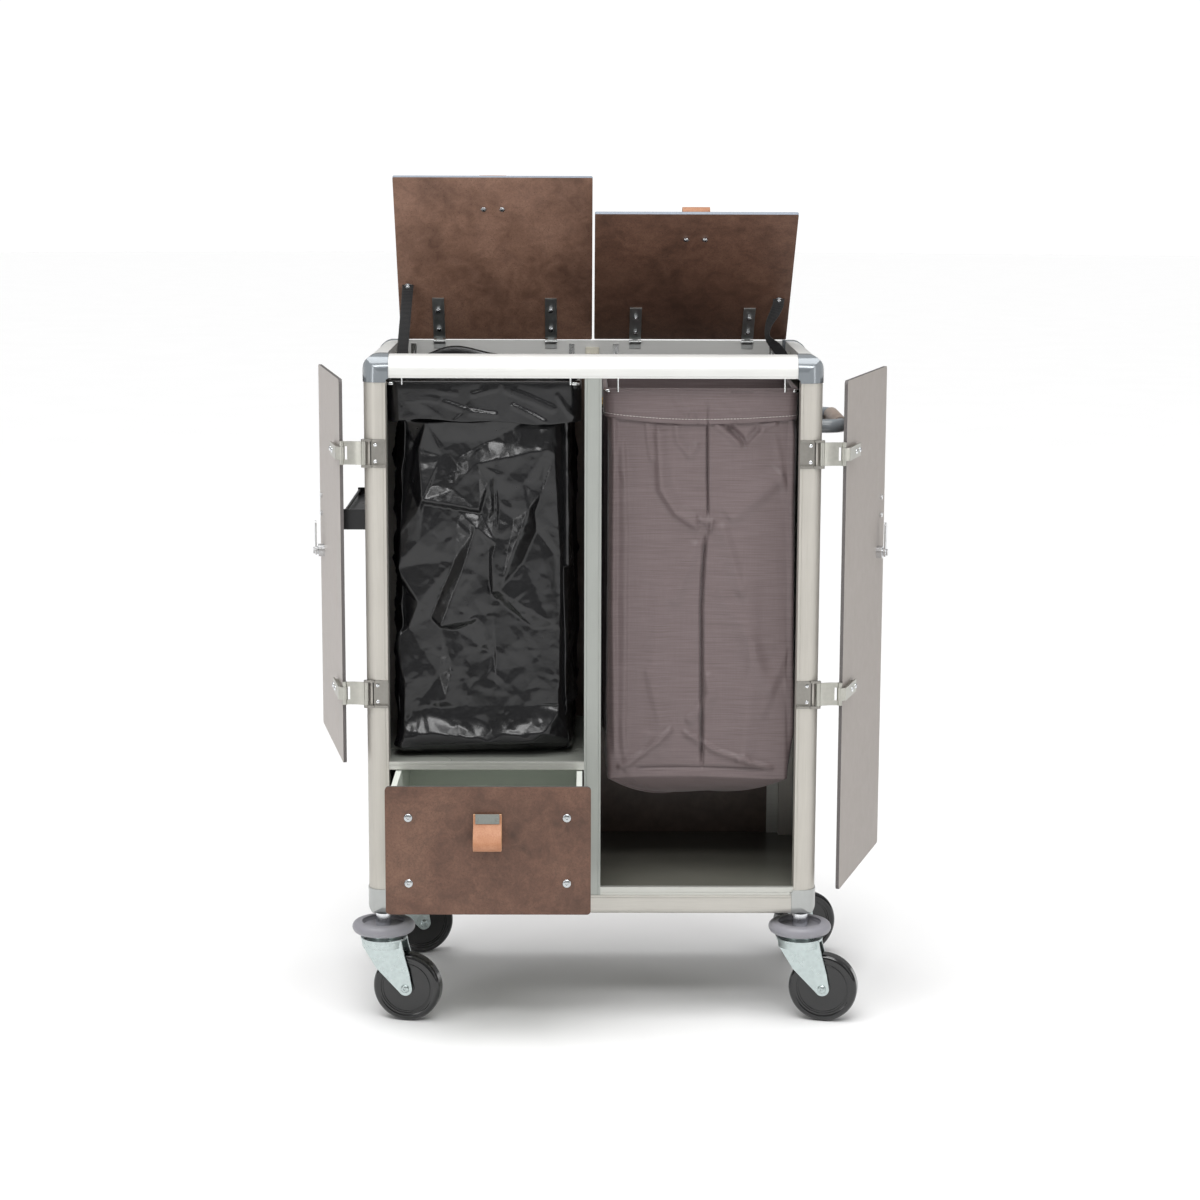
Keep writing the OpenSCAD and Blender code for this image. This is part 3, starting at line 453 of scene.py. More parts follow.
def tube(pts, r, nseg=12, closed=False):
    """vertices and faces of a round tube along points (Vectors)"""
    P = [Vector(p) for p in pts]
    V, F = [], []
    n = len(P)
    up = Vector((0, 0, 1))
    prev = None
    for i, p in enumerate(P):
        a = P[(i - 1) % n] if (closed or i > 0) else P[i]
        b = P[(i + 1) % n] if (closed or i < n - 1) else P[i]
        t = (b - a).normalized()
        if prev is None:
            x = t.orthogonal().normalized()
        else:
            x = (prev - t * prev.dot(t)).normalized()
        prev = x
        y = t.cross(x)
        rr = r[i] if hasattr(r, "__len__") else r
        for k in range(nseg):
            w = 2 * math.pi * k / nseg
            V.append(p + x * (rr * math.cos(w)) + y * (rr * math.sin(w)))
    m = n if closed else n - 1
    for i in range(m):
        for k in range(nseg):
            a, b = i * nseg + k, i * nseg + (k + 1) % nseg
            c, d = ((i + 1) % n) * nseg + (k + 1) % nseg, ((i + 1) % n) * nseg + k
            F.append((a, b, c, d))
    if not closed:
        F.append(tuple(range(nseg))[::-1])
        F.append(tuple((n - 1) * nseg + k for k in range(nseg)))
    return V, F


def merge(parts):
    V, F = [], []
    for v, f in parts:
        o = len(V)
        V += list(v)
        F += [tuple(i + o for i in q) for q in f]
    return V, F


def smooth_path(pts, n):
    """Catmull-Rom through points"""
    P = [np.array(p, float) for p in pts]
    P = [2 * P[0] - P[1]] + P + [2 * P[-1] - P[-2]]
    out = []
    segs = len(P) - 3
    for i in range(n):
        t = i / (n - 1) * segs
        k = min(int(t), segs - 1)
        t -= k
        a, b, c, d = P[k:k + 4]
        out.append(.5 * ((2 * b) + (-a + c) * t + (2 * a - 5 * b + 4 * c - d) * t * t + (-a + 3 * b - 3 * c + d) * t ** 3))
    return np.array(out)


# ------------------------------------------------------------------ leather pulls
def leather_mats():
    m = Mat("tan_leather", sheen=.08, spec=.35)
    pores = m.voro(1500)
    grain = m.noise(420, 5, .65)
    cl = m.noise(40, 4, .6)
    a, b = hexc("#A97656"), hexc("#BC8B6B")
    c = m.ramp(cl, [(.3, a), (.7, b)])
    c = m.mix(m.ramp(grain, [(.35, .35), (.6, 0.0)]), c, hexc("#9A5A3C"))
    m.set("base", c)
    m.set("rough", m.math("MULTIPLY_ADD", grain, .25, .36))
    m.bump(m.math("MULTIPLY_ADD", pores, .6, grain), .35, .0004)
    e = Mat("leather_cut_edge", rough=.7)
    e.set("base", e.ramp(e.noise(900, 3, .6), [(.3, hexc("#C99A6E")), (.7, hexc("#E0BE94"))]))
    e.bump(e.noise(1500, 2, .6), .4, .0003)
    return m.m, e.m


leather, leather_edge = leather_mats()


def pull(name, node, body, fn):
    """a folded strip: two flat tails under the plate and a round loop. fn maps local (along, stand-off, across) millimetres to row metres"""
    pts = [(-8, 1.25), (0, 1.25), (10, 1.25), (20, 1.3), (30, 1.25), (38, 1.5)]
    R, cx, cy = 12.7, 41.5, 14
    for a in range(-75, 126, 12):
        pts.append((cx + R * math.cos(math.radians(a)), cy + R * math.sin(math.radians(a))))
    pts += [(26, 20.0), (19, 13.6), (13, 7.2), (8.6, 4.3), (4, 3.75), (-2, 3.72), (-8, 3.7)]
    path = smooth_path([(p[0], p[1], 0) for p in pts], 110)[:, :2]
    nw = 17
    V = []
    for i, p in enumerate(path):
        for k in range(nw):
            w = (k / (nw - 1) - .5) * 49.6
            # edges lift a little and the loop bellies across its width
            s = max(0, min(1, (p[0] - 12) / 20))
            q = p + s * np.array([.5 * math.cos(w / 25 * 1.4) - .3, .35 * (w / 25) ** 2])
            V.append(fn(q[0], q[1], w))
    ob = mesh_obj(name, V, grid_faces(nw, len(path)), leather)
    ob.data.materials.append(leather_edge)
    solid(ob, .0023, 0, 1)
    bv = ob.modifiers.new("round", "BEVEL")
    bv.width = .0005
    bv.segments = 2
    bv.limit_method = "ANGLE"
    bv.material = -1
    apply_mods(ob)
    ob.data.polygons.foreach_set("use_smooth", [True] * len(ob.data.polygons))
    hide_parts(node)
    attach(ob, body)
    return ob


BL, BR = C(-443.5, 9.5, 0), C(443.5, 9.5, 0)
pull("pull_on_left_door", "door_pull_left", "left_door", lambda a, s, w: BL + ul * ((322 - a) / 1000) + vl * ((-3.05 - s) / 1000) + Vector((0, 0, .907 + w / 1000)))
pull("pull_on_right_door", "door_pull_right", "right_door", lambda a, s, w: BR + ur * ((322 - a) / 1000) + vr * ((-3.05 - s) / 1000) + Vector((0, 0, .907 + w / 1000)))


def lid_point(theta, x, y, z):
    c, s = math.cos(theta), math.sin(theta)
    return C(x, 386 + y * c + z * s, 1210 - y * s + z * c)


pull("pull_on_left_lid", "lid_pull_left", "left_lid", lambda a, s, w: lid_point(tl, -183 + w, -292 - a, 11.05 + s))
pull("pull_on_right_lid", "lid_pull_right", "right_lid", lambda a, s, w: lid_point(tr, 184 + w, -292 - a, 11.05 + s))
pull("pull_on_drawer", "drawer_pull", "drawer", lambda a, s, w: C(-183 + w, -139.5 - 6.55 - s, 416 - a))


# ------------------------------------------------------------------ lid straps
def webbing():
    m = Mat("black_webbing", sheen=.2, rough=.75)
    s = m.sep()
    rib = m.math("SINE", m.math("MULTIPLY", s[2], 3800))
    rib2 = m.math("SINE", m.math("MULTIPLY", m.math("ADD", s[0], m.math("MULTIPLY", s[2], .5)), 5200))
    h = m.math("MULTIPLY_ADD", rib2, .5, rib)
    # painted shade: the base colour follows the rib height, darker in the grooves between the ribs
    m.set("base", m.ramp(h, [(.2, hexc("#0E0E0F")), (.9, hexc("#2A2A2C"))]))
    m.bump(h, .6, .0005)
    return m.m


web = webbing()


def strap(name, node, centre, widthdir):
    """flat webbing 21 mm wide and 1.4 thick along a path in cart millimetres"""
    P = smooth_path(centre, 90)
    Wd = smooth_path(widthdir, 90)
    V = []
    nw = 9
    for i, p in enumerate(P):
        w = Wd[i] / np.linalg.norm(Wd[i])
        t = P[min(i + 1, 89)] - P[max(i - 1, 0)]
        nrm = np.cross(t, w)
        nrm /= np.linalg.norm(nrm)
        for k in range(nw):
            s = (k / (nw - 1) - .5) * 20.6
            q = p + w * s + nrm * (.25 * math.cos(i * 1.9) + .15 * (s / 10) ** 2)
            V.append(C(*q))
    ob = mesh_obj(name, V, grid_faces(nw, len(P)), web)
    solid(ob, .0014)
    apply_mods(ob)
    ob.data.polygons.foreach_set("use_smooth", [True] * len(ob.data.polygons))
    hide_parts(node)
    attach(ob, "cart")
    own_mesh(ob)
    return ob


def under(theta, y, z):
    p = lid_point(theta, 0, y, z)
    return p.y * 1000 - YO, p.z * 1000


yl, zl = under(tl, -122, 2.2)
strap("strap_on_left_lid", "strap_left", [(-352, 253.2, 1178), (-352, 253.2, 1190), (-351.5, 254.8, 1200), (-349, 280, 1243), (-347, 303, 1281), (-345.5, yl - 7, zl - 8), (-345, yl + 2.5, zl + 5)],
      [(1, 0, 0), (1, 0, 0), (1, 0, .02), (1, 0, .05), (1, 0, .08), (1, 0, .02), (1, 0, 0)])
yr, zr = under(tr, -122, 2.2)
strap("strap_on_right_lid", "strap_right", [(353, 253.2, 1178), (351, 252.6, 1192), (338, 250, 1210), (322, 252, 1228), (324, 262, 1250), (336, 277, 1271), (343, yr - 9, zr - 8), (345, yr + 3, zr + 3.5)],
      [(1, 0, .1), (.9, -.2, .3), (.7, -.5, .6), (.35, -.9, .2), (.45, -.85, -.2), (.75, -.5, -.25), (1, -.1, -.1), (1, 0, 0)])


# ------------------------------------------------------------------ bags
def tent(u, z, pts, A, wl, wr, taper=.25):
    """height of a crisp crease along a polyline: linear slopes of width wl on its left and wr on its right, running out at its ends"""
    P = np.array(pts, float)
    reach = max(wl, wr)
    near = (u > P[:, 0].min() - reach) & (u < P[:, 0].max() + reach)
    out = np.zeros(u.shape)
    if not near.any():
        return out
    un, zn = u[near], z[near]
    seg = P[1:] - P[:-1]
    L = np.linalg.norm(seg, axis=1)
    cum = np.concatenate([[0], np.cumsum(L)])
    best = np.full(un.shape, 1e9)
    side = np.zeros(un.shape)
    along = np.zeros(un.shape)
    for k in range(len(seg)):
        d = seg[k] / L[k]
        t = np.clip((un - P[k, 0]) * d[0] + (zn - P[k, 1]) * d[1], 0, L[k])
        dx, dz = un - (P[k, 0] + t * d[0]), zn - (P[k, 1] + t * d[1])
        dist = np.hypot(dx, dz)
        m = dist < best
        best = np.where(m, dist, best)
        side = np.where(m, d[0] * dz - d[1] * dx, side)
        along = np.where(m, cum[k] + t, along)
    w = np.where(side > 0, wl, wr)
    q = np.clip(1 - best / w, 0, 1)
    a = along / cum[-1]
    win = np.clip(np.minimum(a, 1 - a) / taper, 0, 1)
    win = win * win * (3 - 2 * win)
    out[near] = A * q ** 1.25 * win
    return out


def rounded_loop(x0, x1, y0, y1, r, n_x, n_y, n_c):
    """points and outward normals round a rectangle, from the middle of the rear left corner clockwise: front first. Returns list of (x, y, nx, ny, u, face)"""
    out = []
    u = 0
    def line(xa, ya, xb, yb, n, nx, ny, face):
        nonlocal u
        L = math.hypot(xb - xa, yb - ya)
        for i in range(n):
            t = i / n
            out.append((xa + (xb - xa) * t, ya + (yb - ya) * t, nx, ny, u + L * t, face))
        u += L
    def arc(cx, cy, a0, n, face):
        nonlocal u
        L = r * math.pi / 2
        for i in range(n):
            a = math.radians(a0 + 90 * i / n)
            out.append((cx + r * math.cos(a), cy + r * math.sin(a), math.cos(a), math.sin(a), u + L * i / n, face))
        u += L
    line(x0 + r, y0, x1 - r, y0, n_x, 0, -1, 0)
    arc(x1 - r, y0 + r, 270, n_c, 1)
    line(x1, y0 + r, x1, y1 - r, n_y, 1, 0, 1)
    arc(x1 - r, y1 - r, 0, n_c, 2)
    line(x1 - r, y1, x0 + r, y1, n_x, 0, 1, 2)
    arc(x0 + r, y1 - r, 90, n_c, 3)
    line(x0, y1 - r, x0, y0 + r, n_y, -1, 0, 3)
    arc(x0 + r, y0 + r, 180, n_c, 0)
    return np.array(out), u


# where the film of the front is creased: cart x, z and how far the point stands out (mm), and which points a fold joins
CREASE_POINTS = [(-369.7,1091.3,-14), (-340.2,1089.4,-2), (-297.9,1087.6,8), (-272.2,1052.0,2), (-270.1,1026.8,4), (-242.8,1022.2,3), (-206.3,1016.7,13), (-183.4,1056.6,3), (-157.3,1093.1,9), (-124.2,1089.4,4), (-99.1,1087.6,7), (-83.2,1039.2,14), (-68.7,1031.4,11), (-65.0,1089.4,3), (-32.3,1089.4,-14), (-304.9,947.4,18), (-204.0,932.6,15), (-250.0,968.5,10), (-291.0,971.8,8), (-301.8,940.0,4), (-243.3,929.9,4), (-201.3,925.2,4), (-174.5,999.3,13), (-173.6,872.6,13), (-186.0,983.2,5), (-186.9,861.0,5), (-114.4,932.6,17), (-124.3,978.6,13), (-151.7,997.0,11), (-165.6,937.2,6), (-142.8,914.2,9), (-87.8,978.6,4), (-104.3,925.2,5), (-93.3,956.6,6), (-69.5,848.5,2), (-58.5,854.0,5), (-41.2,891.1,-13), (-34.1,737.7,-12), (-58.5,714.3,6), (-60.2,575.5,9), (-208.7,900.3,13), (-230.2,830.8,14), (-272.2,719.0,13), (-250.8,835.5,3), (-292.9,733.0,2), (-311.9,931.7,10), (-353.6,881.8,3), (-312.4,872.6,9), (-353.2,825.3,8), (-317.4,830.8,4), (-356.5,812.2,2), (-313.3,761.0,9), (-370.0,714.3,-12), (-364.6,694.6,6), (-337.6,620.3,14), (-339.9,530.5,15), (-324.2,565.6,9), (-245.5,569.4,7), (-172.3,575.0,12), (-106.5,572.2,7), (-60.2,576.9,11), (-167.9,787.1,14), (-179.4,785.3,13), (-187.1,807.6,4), (-181.0,845.7,14), (-182.6,777.3,5), (-177.5,667.4,5), (-174.3,667.4,8), (-210.0,732.0,9), (-244.6,711.9,3), (-274.1,714.3,2), (-278.0,625.0,2), (-265.8,582.6,9), (-252.0,643.9,9), (-124.6,835.5,3), (-106.4,714.3,4), (-78.7,728.3,9), (-124.9,643.9,4), (-221.9,643.9,4), (-332.2,714.3,3), (-343.4,501.1,17), (-264.4,507.7,19), (-185.5,510.6,18), (-125.2,509.2,20), (-88.0,526.7,18), (-62.1,560.8,14), (-372.2,501.1,-8), (-31.4,501.1,-8), (-245.7,537.6,12), (-166.8,539.1,15), (-111.2,543.8,12), (-47.5,872.6,-2), (-50.2,733.0,-3), (-44.0,582.6,-6), (-328.9,978.6,-3), (-320.1,1047.4,-9), (-311.9,1038.3,2), (-352.5,992.4,-12), (-363.5,807.6,-8), (-87.9,844.8,7), (-100.7,891.1,2)]
CREASE_LINES = [(6, 11), (11, 12), (12, 33), (33, 26), (26, 61), (6, 16), (15, 16), (15, 4), (4, 2), (19, 20), (20, 21), (22, 23), (23, 64), (64, 62), (62, 61), (25, 63), (16, 40), (40, 41), (41, 42), (42, 70), (45, 46), (46, 47), (47, 48), (48, 51), (51, 44), (65, 66), (67, 58), (68, 69), (70, 71), (71, 72), (53, 54), (54, 55), (56, 57), (57, 58), (58, 59), (59, 60), (12, 35), (35, 38), (38, 39), (7, 8), (6, 7), (80, 55), (84, 85), (88, 89), (89, 90), (90, 85), (27, 26), (99, 38), (100, 99), (36, 37), (91, 92), (11, 10), (94, 95), (96, 15)]


def facets(points, lines, u, z):
    """height over (u, z) arrays of a sheet folded flat between points: straight facets with crisp folds"""
    from mathutils.geometry import delaunay_2d_cdt
    V, _, T, _, _, _ = delaunay_2d_cdt([Vector((q[0], q[1])) for q in points], lines, [], 0, .01)
    src = np.array([(q[0], q[1]) for q in points])
    hh = np.array([q[2] for q in points], float)
    V = np.array([(v.x, v.y) for v in V])
    H = np.zeros(len(V))
    for i, v in enumerate(V):
        d = np.hypot(*(src - v).T)
        if d.min() < .05:
            H[i] = hh[d.argmin()]
        else:
            w = 1 / d ** 3
            H[i] = (w * hh).sum() / w.sum()
    out = np.full(u.shape, np.nan)
    for t in T:
        for k in range(1, len(t) - 1):
            i, j, l = t[0], t[k], t[k + 1]
            (x1, y1), (x2, y2), (x3, y3) = V[i], V[j], V[l]
            m = (u >= min(x1, x2, x3) - .01) & (u <= max(x1, x2, x3) + .01) & (z >= min(y1, y2, y3) - .01) & (z <= max(y1, y2, y3) + .01)
            if not m.any():
                continue
            det = (y2 - y3) * (x1 - x3) + (x3 - x2) * (y1 - y3)
            if abs(det) < 1e-9:
                continue
            a = ((y2 - y3) * (u[m] - x3) + (x3 - x2) * (z[m] - y3)) / det
            b = ((y3 - y1) * (u[m] - x3) + (x1 - x3) * (z[m] - y3)) / det
            c = 1 - a - b
            ok = (a > -1e-6) & (b > -1e-6) & (c > -1e-6)
            idx = np.argwhere(m)[ok]
            out[tuple(idx.T)] = a[ok] * H[i] + b[ok] * H[j] + c[ok] * H[l]
    return out


def film():
    m = Mat("charcoal_film", spec=.36, coat=.34, coat_rough=.13)
    wr = m.noise(30, 6, .62, dist=1.2)
    ridge = m.math("ABSOLUTE", m.math("SUBTRACT", wr, .5))
    wr2 = m.noise(110, 5, .6, dist=.6)
    ridge2 = m.math("ABSOLUTE", m.math("SUBTRACT", wr2, .5))
    cell = m.voro(34, "DISTANCE_TO_EDGE", vec=(1, 1, .8))
    h = m.math("ADD", m.math("MULTIPLY", m.math("MINIMUM", ridge, .05), 3.0), m.math("MULTIPLY", m.math("MINIMUM", ridge2, .06), .8))
    h = m.math("MULTIPLY_ADD", m.math("MINIMUM", cell, .12), .5, h)
    m.set("base", m.ramp(m.noise(12, 4, .6), [(.3, hexc("#0F0F10")), (.7, hexc("#151517"))]))
    m.set("rough", m.math("MULTIPLY_ADD", m.noise(60, 4, .6), .15, .17))
    m.bump(h, .22, .0025)
    return m.m


def finish_bag(ob, t, node):
    solid(ob, t)
    apply_mods(ob)
    ob.data.polygons.foreach_set("use_smooth", [True] * len(ob.data.polygons))
    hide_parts(node)
    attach(ob, "cart")


def trash_bag():
    rng = np.random.default_rng(12)
    x0, x1, y0, y1 = -362, -30, 54, 373.5
    loop, per = rounded_loop(x0, x1, y0, y1, 16, 130, 90, 8)
    X, Y, NX, NY, U, Fc = loop.T
    nu = len(loop)
    # rows: cuff edge up, over the wire, and down the body to the shelf, then in to the middle
    rows = []
    for z in np.linspace(1090, 1150, 26): rows.append(("cuff", z))
    for a in range(0, 181, 20): rows.append(("roll", a))
    for z in np.linspace(1148, 492, 235): rows.append(("body", z))
    for k in np.linspace(0, 1, 26): rows.append(("foot", k))
    rnd = []
    for k in range(230):
        u0, z0 = rng.uniform(0, per), rng.uniform(490, 1140)
        ang = rng.normal(math.pi / 2, .55) if rng.random() < .7 else rng.uniform(0, math.pi)
        L = rng.uniform(30, 170)
        mid = rng.normal(0, L * .12)
        c, s = math.cos(ang), math.sin(ang)
        pts = [(u0 - c * L / 2, z0 - s * L / 2), (u0 - s * mid, z0 + c * mid), (u0 + c * L / 2, z0 + s * L / 2)]
        onf = u0 < x1 - x0 - 32
        rnd.append((pts, rng.uniform(1.5, 4.2) * (.28 if onf else 1.3), rng.uniform(5, 20) * (.6 if onf else 1), rng.uniform(5, 20) * (.6 if onf else 1)))
    for k in range(14):
        u0 = (x1 - x0 - 32) + rng.uniform(20, per - (x1 - x0))
        rnd.append(([(u0, 1140), (u0 + rng.normal(0, 12), 850), (u0 + rng.normal(0, 25), 560)], rng.uniform(5, 10), rng.uniform(9, 20), rng.uniform(9, 20)))
    V = []
    zz = [r[1] if r[0] in ("body", "cuff") else (1158 if r[0] == "roll" else 490) for r in rows]
    # small crisp crumples between the big folds: a scatter of points, each a little in or out
    pts = [tuple(q) for q in CREASE_POINTS]
    zlo, zhi = min(q[1] for q in pts), max(q[1] for q in pts)
    wall = x1 - x0 - 32
    gu = np.clip(X, min(q[0] for q in pts) + .5, max(q[0] for q in pts) - .5)
    gz = np.clip(np.array(zz, float), zlo + .5, zhi - .5)
    UU, ZZ = np.meshgrid(gu, gz)
    big = facets(pts, CREASE_LINES, UU, ZZ)
    big = np.where(np.isnan(big), 0, big)
    def scatter(n, amp, lo, hi, uw):
        q = [(rng.uniform(-20, uw + 20), rng.uniform(lo - 20, hi + 20), rng.normal(0, amp)) for _ in range(n)]
        q += [(-60, lo - 60, 0), (uw + 60, lo - 60, 0), (uw + 60, hi + 60, 0), (-60, hi + 60, 0)]
        return q
    U2, Z2 = np.meshgrid(U, np.array(zz, float))
    fine = facets(scatter(900, 1.0, 480, 1160, per), [], U2, Z2)
    tiny = facets(scatter(1500, .42, 480, 1160, wall), [], np.clip(U2, 0, wall), Z2)
    rough_zone = np.exp(-(((X - (-205)) / 60) ** 2)) * 1.0
    fine = np.where(np.isnan(fine), 0, fine)
    tiny = np.where(np.isnan(tiny), 0, tiny)
    onfront = (np.minimum(U, per - U) < 26) | (U < wall + 26)
    side_fade = np.where(U < wall, 1.0, np.where(np.minimum(U - wall, per - U) < 60, 1 - np.minimum(U - wall, per - U) / 60, 0.0))
    for j, (kind, v) in enumerate(rows):
        z = zz[j]
        if kind in ("body", "foot"):
            uu = U.copy()
            Z = np.full(nu, float(z if kind == "body" else 492))
            h = np.zeros(nu)
            for cpts, A, a, b in rnd:
                zs = [p[1] for p in cpts]
                if min(zs) - 25 > z or max(zs) + 25 < z: continue
                for off in (0, per, -per):
                    h += tent(uu + off, Z, cpts, A, a, b)
            top = np.clip((1150 - z) / 60, 0, 1)
            h = (h * (.15 + .85 * (1 - side_fade)) + fine[j] * (.45 + 1.05 * (1 - side_fade)) + tiny[j] * side_fade * (1 + 1.3 * rough_zone)) * top
            h = h + 1.35 * big[j] * side_fade * top
            band = np.clip((552 - z) / 48, 0, 1) ** 1.3
            h = h + side_fade * band * (10 + 1.6 * fine[j] + 1.5 * tiny[j])
            # front leans in towards the foot, the sides draw in, and the rear rounds forward
            t = np.clip((660 - z) / 180, 0, 1)
            fy = 16 * np.clip((506 - z) / 16, 0, 1) ** 2
            ry = -22 * np.clip((600 - z) / 120, 0, 1) ** 1.4
            draw = 5 * np.clip((1150 - z) / 40, 0, 1) * np.clip((z - 500) / 560, 0, 1) + 1
            px = X - NX * draw
            k = (Y - y0) / (y1 - y0)
            py = Y + fy * (1 - k) + ry * k
            draw_f = 6 * top
            py = py - NY * draw_f
            inset = (4 + 10 * side_fade) * top
            h = h - inset
            px = px + NX * h
            py = py + NY * h
            Zr = np.full(nu, float(z)) + (1.5 * np.sin(U / 37) if kind == "body" else 0)
            if kind == "foot":
                cx, cy = (x0 + x1) / 2, 240
                g = v
                px = px + (cx - px) * g * .995
                py = py + (cy - py) * g * .995
                drop = 11.0 * (1 - (1 - min(1, g * 5)) ** 2)
                Zr = 492 - drop + 4 * np.abs(np.sin(U / 19 + g * 9)) * math.sin(math.pi * min(1, g * 1.4)) * np.exp(-g * 3) + 0 * U
                Zr = np.maximum(Zr, 481.2)
        elif kind == "roll":
            a = math.radians(v)
            off = 4.5 * math.cos(a) + 4.2
            px = X + NX * off
            py = Y + NY * off
            Zr = np.full(nu, 1158.0) + 5.0 * math.sin(a)
            # loose film stands up over the rear wire, highest on the left
            rear = np.clip((Y - 300) / 70, 0, 1)
            arch = rear * (34 * np.exp(-((X + 268) / 70) ** 2) + 20 * np.exp(-((X + 140) / 110) ** 2))
            Zr = Zr + arch * math.sin(a) ** .7 if math.sin(a) > 0 else Zr
        else:
            # the folded-over cuff stands off the body and hangs in slack swags
            d = (1150 - z) / 60
            px = X + NX * (8.7 + 0 * U)
            py = Y + NY * (8.7 + 0 * U)
            sw = 2.4 * np.sin(U / 41) + 1.8 * np.sin(U / 17 + 1.1) + 1.2 * np.sin(U / 8.3)
            zc = np.full(nu, z)
            cr = tent(U, zc, [(12.0, 1125.9), (47.5, 1129.5), (75.9, 1125.9)], 5, 9, 5, .12) + tent(U, zc, [(184.3, 1150.8), (233.9, 1134.8), (283.6, 1113.5)], 6, 6, 9, .12) + tent(U, zc, [(75.9, 1125.9), (127.3, 1108.2), (180.5, 1101.0)], 4, 7, 7, .12) + tent(U, zc, [(127.4, 1136.6), (180.7, 1150.8)], 4, 8, 5, .12) + tent(U, zc, [(280.0, 1143.7), (297.8, 1115.3), (313.8, 1093.9)], 5, 5, 6, .12) + tent(U, zc, [(-21.6, 1140.2), (2.9, 1111.7), (-0.8, 1093.9)], 5, 6, 6, .12) + tent(U, zc, [(198.4, 1122.4), (242.7, 1104.6), (265.8, 1092.1)], 4, 5, 6, .12) + tent(U, zc, [(38.8, 1147.3), (109.7, 1140.2)], 3, 6, 4, .12)
            cr += .9 * fine[j]
            push = np.clip(sw * d * .8 + cr - 3.0 * d, -1.2 - 4 * d, 5)
            px = px + NX * push
            py = py + NY * push
            edge = 3.5 * np.sin(U / 60 + .6) + 2 * np.sin(U / 23)
            Zr = z + edge * d + (1.3 * (np.arange(nu) % 2) if j == 0 else 0)
        # keep clear of the neighbours
        px = np.clip(px, -371.5, -20.5)
        py = np.clip(py, 44.5, 383)
        for i in range(nu):
            V.append(C(px[i], py[i], Zr[i]))
    F = grid_faces(nu, len(rows), True)
    F.append(tuple((len(rows) - 1) * nu + i for i in range(nu)))
    ob = mesh_obj("trash_bag_film", V, F, film())
    finish_bag(ob, .0005, "trash_bag")


trash_bag()


def cloth_mat():
    m = Mat("mauve_polyester", spec=.45, sheen=.25, sheen_rough=.4)
    slub = m.noise(60, 3, .6, vec=(.25, .25, 22))
    slub2 = m.noise(140, 2, .5, vec=(.1, .1, 14))
    warp = m.noise(140, 2, .5, vec=(14, 14, .15))
    weave = m.math("ADD", m.wave(1100, "Z"), m.math("MULTIPLY", m.math("ADD", m.wave(1100, "X"), m.wave(1100, "Y")), .5))
    a, b = hexc("#5F5251"), hexc("#7A6C6D")
    c = m.ramp(m.math("MULTIPLY_ADD", slub, .6, m.math("MULTIPLY", slub2, .4)), [(.36, a), (.64, b)])
    c = m.mix(m.math("MULTIPLY", m.ramp(warp, [(.4, 1.0), (.6, 0.0)]), .25), c, hexc("#5C5152"))
    m.set("base", c)
    m.set("rough", m.math("MULTIPLY_ADD", slub, .22, .36))
    m.bump(m.math("MULTIPLY_ADD", weave, .25, slub), .16, .0004)
    return m.m


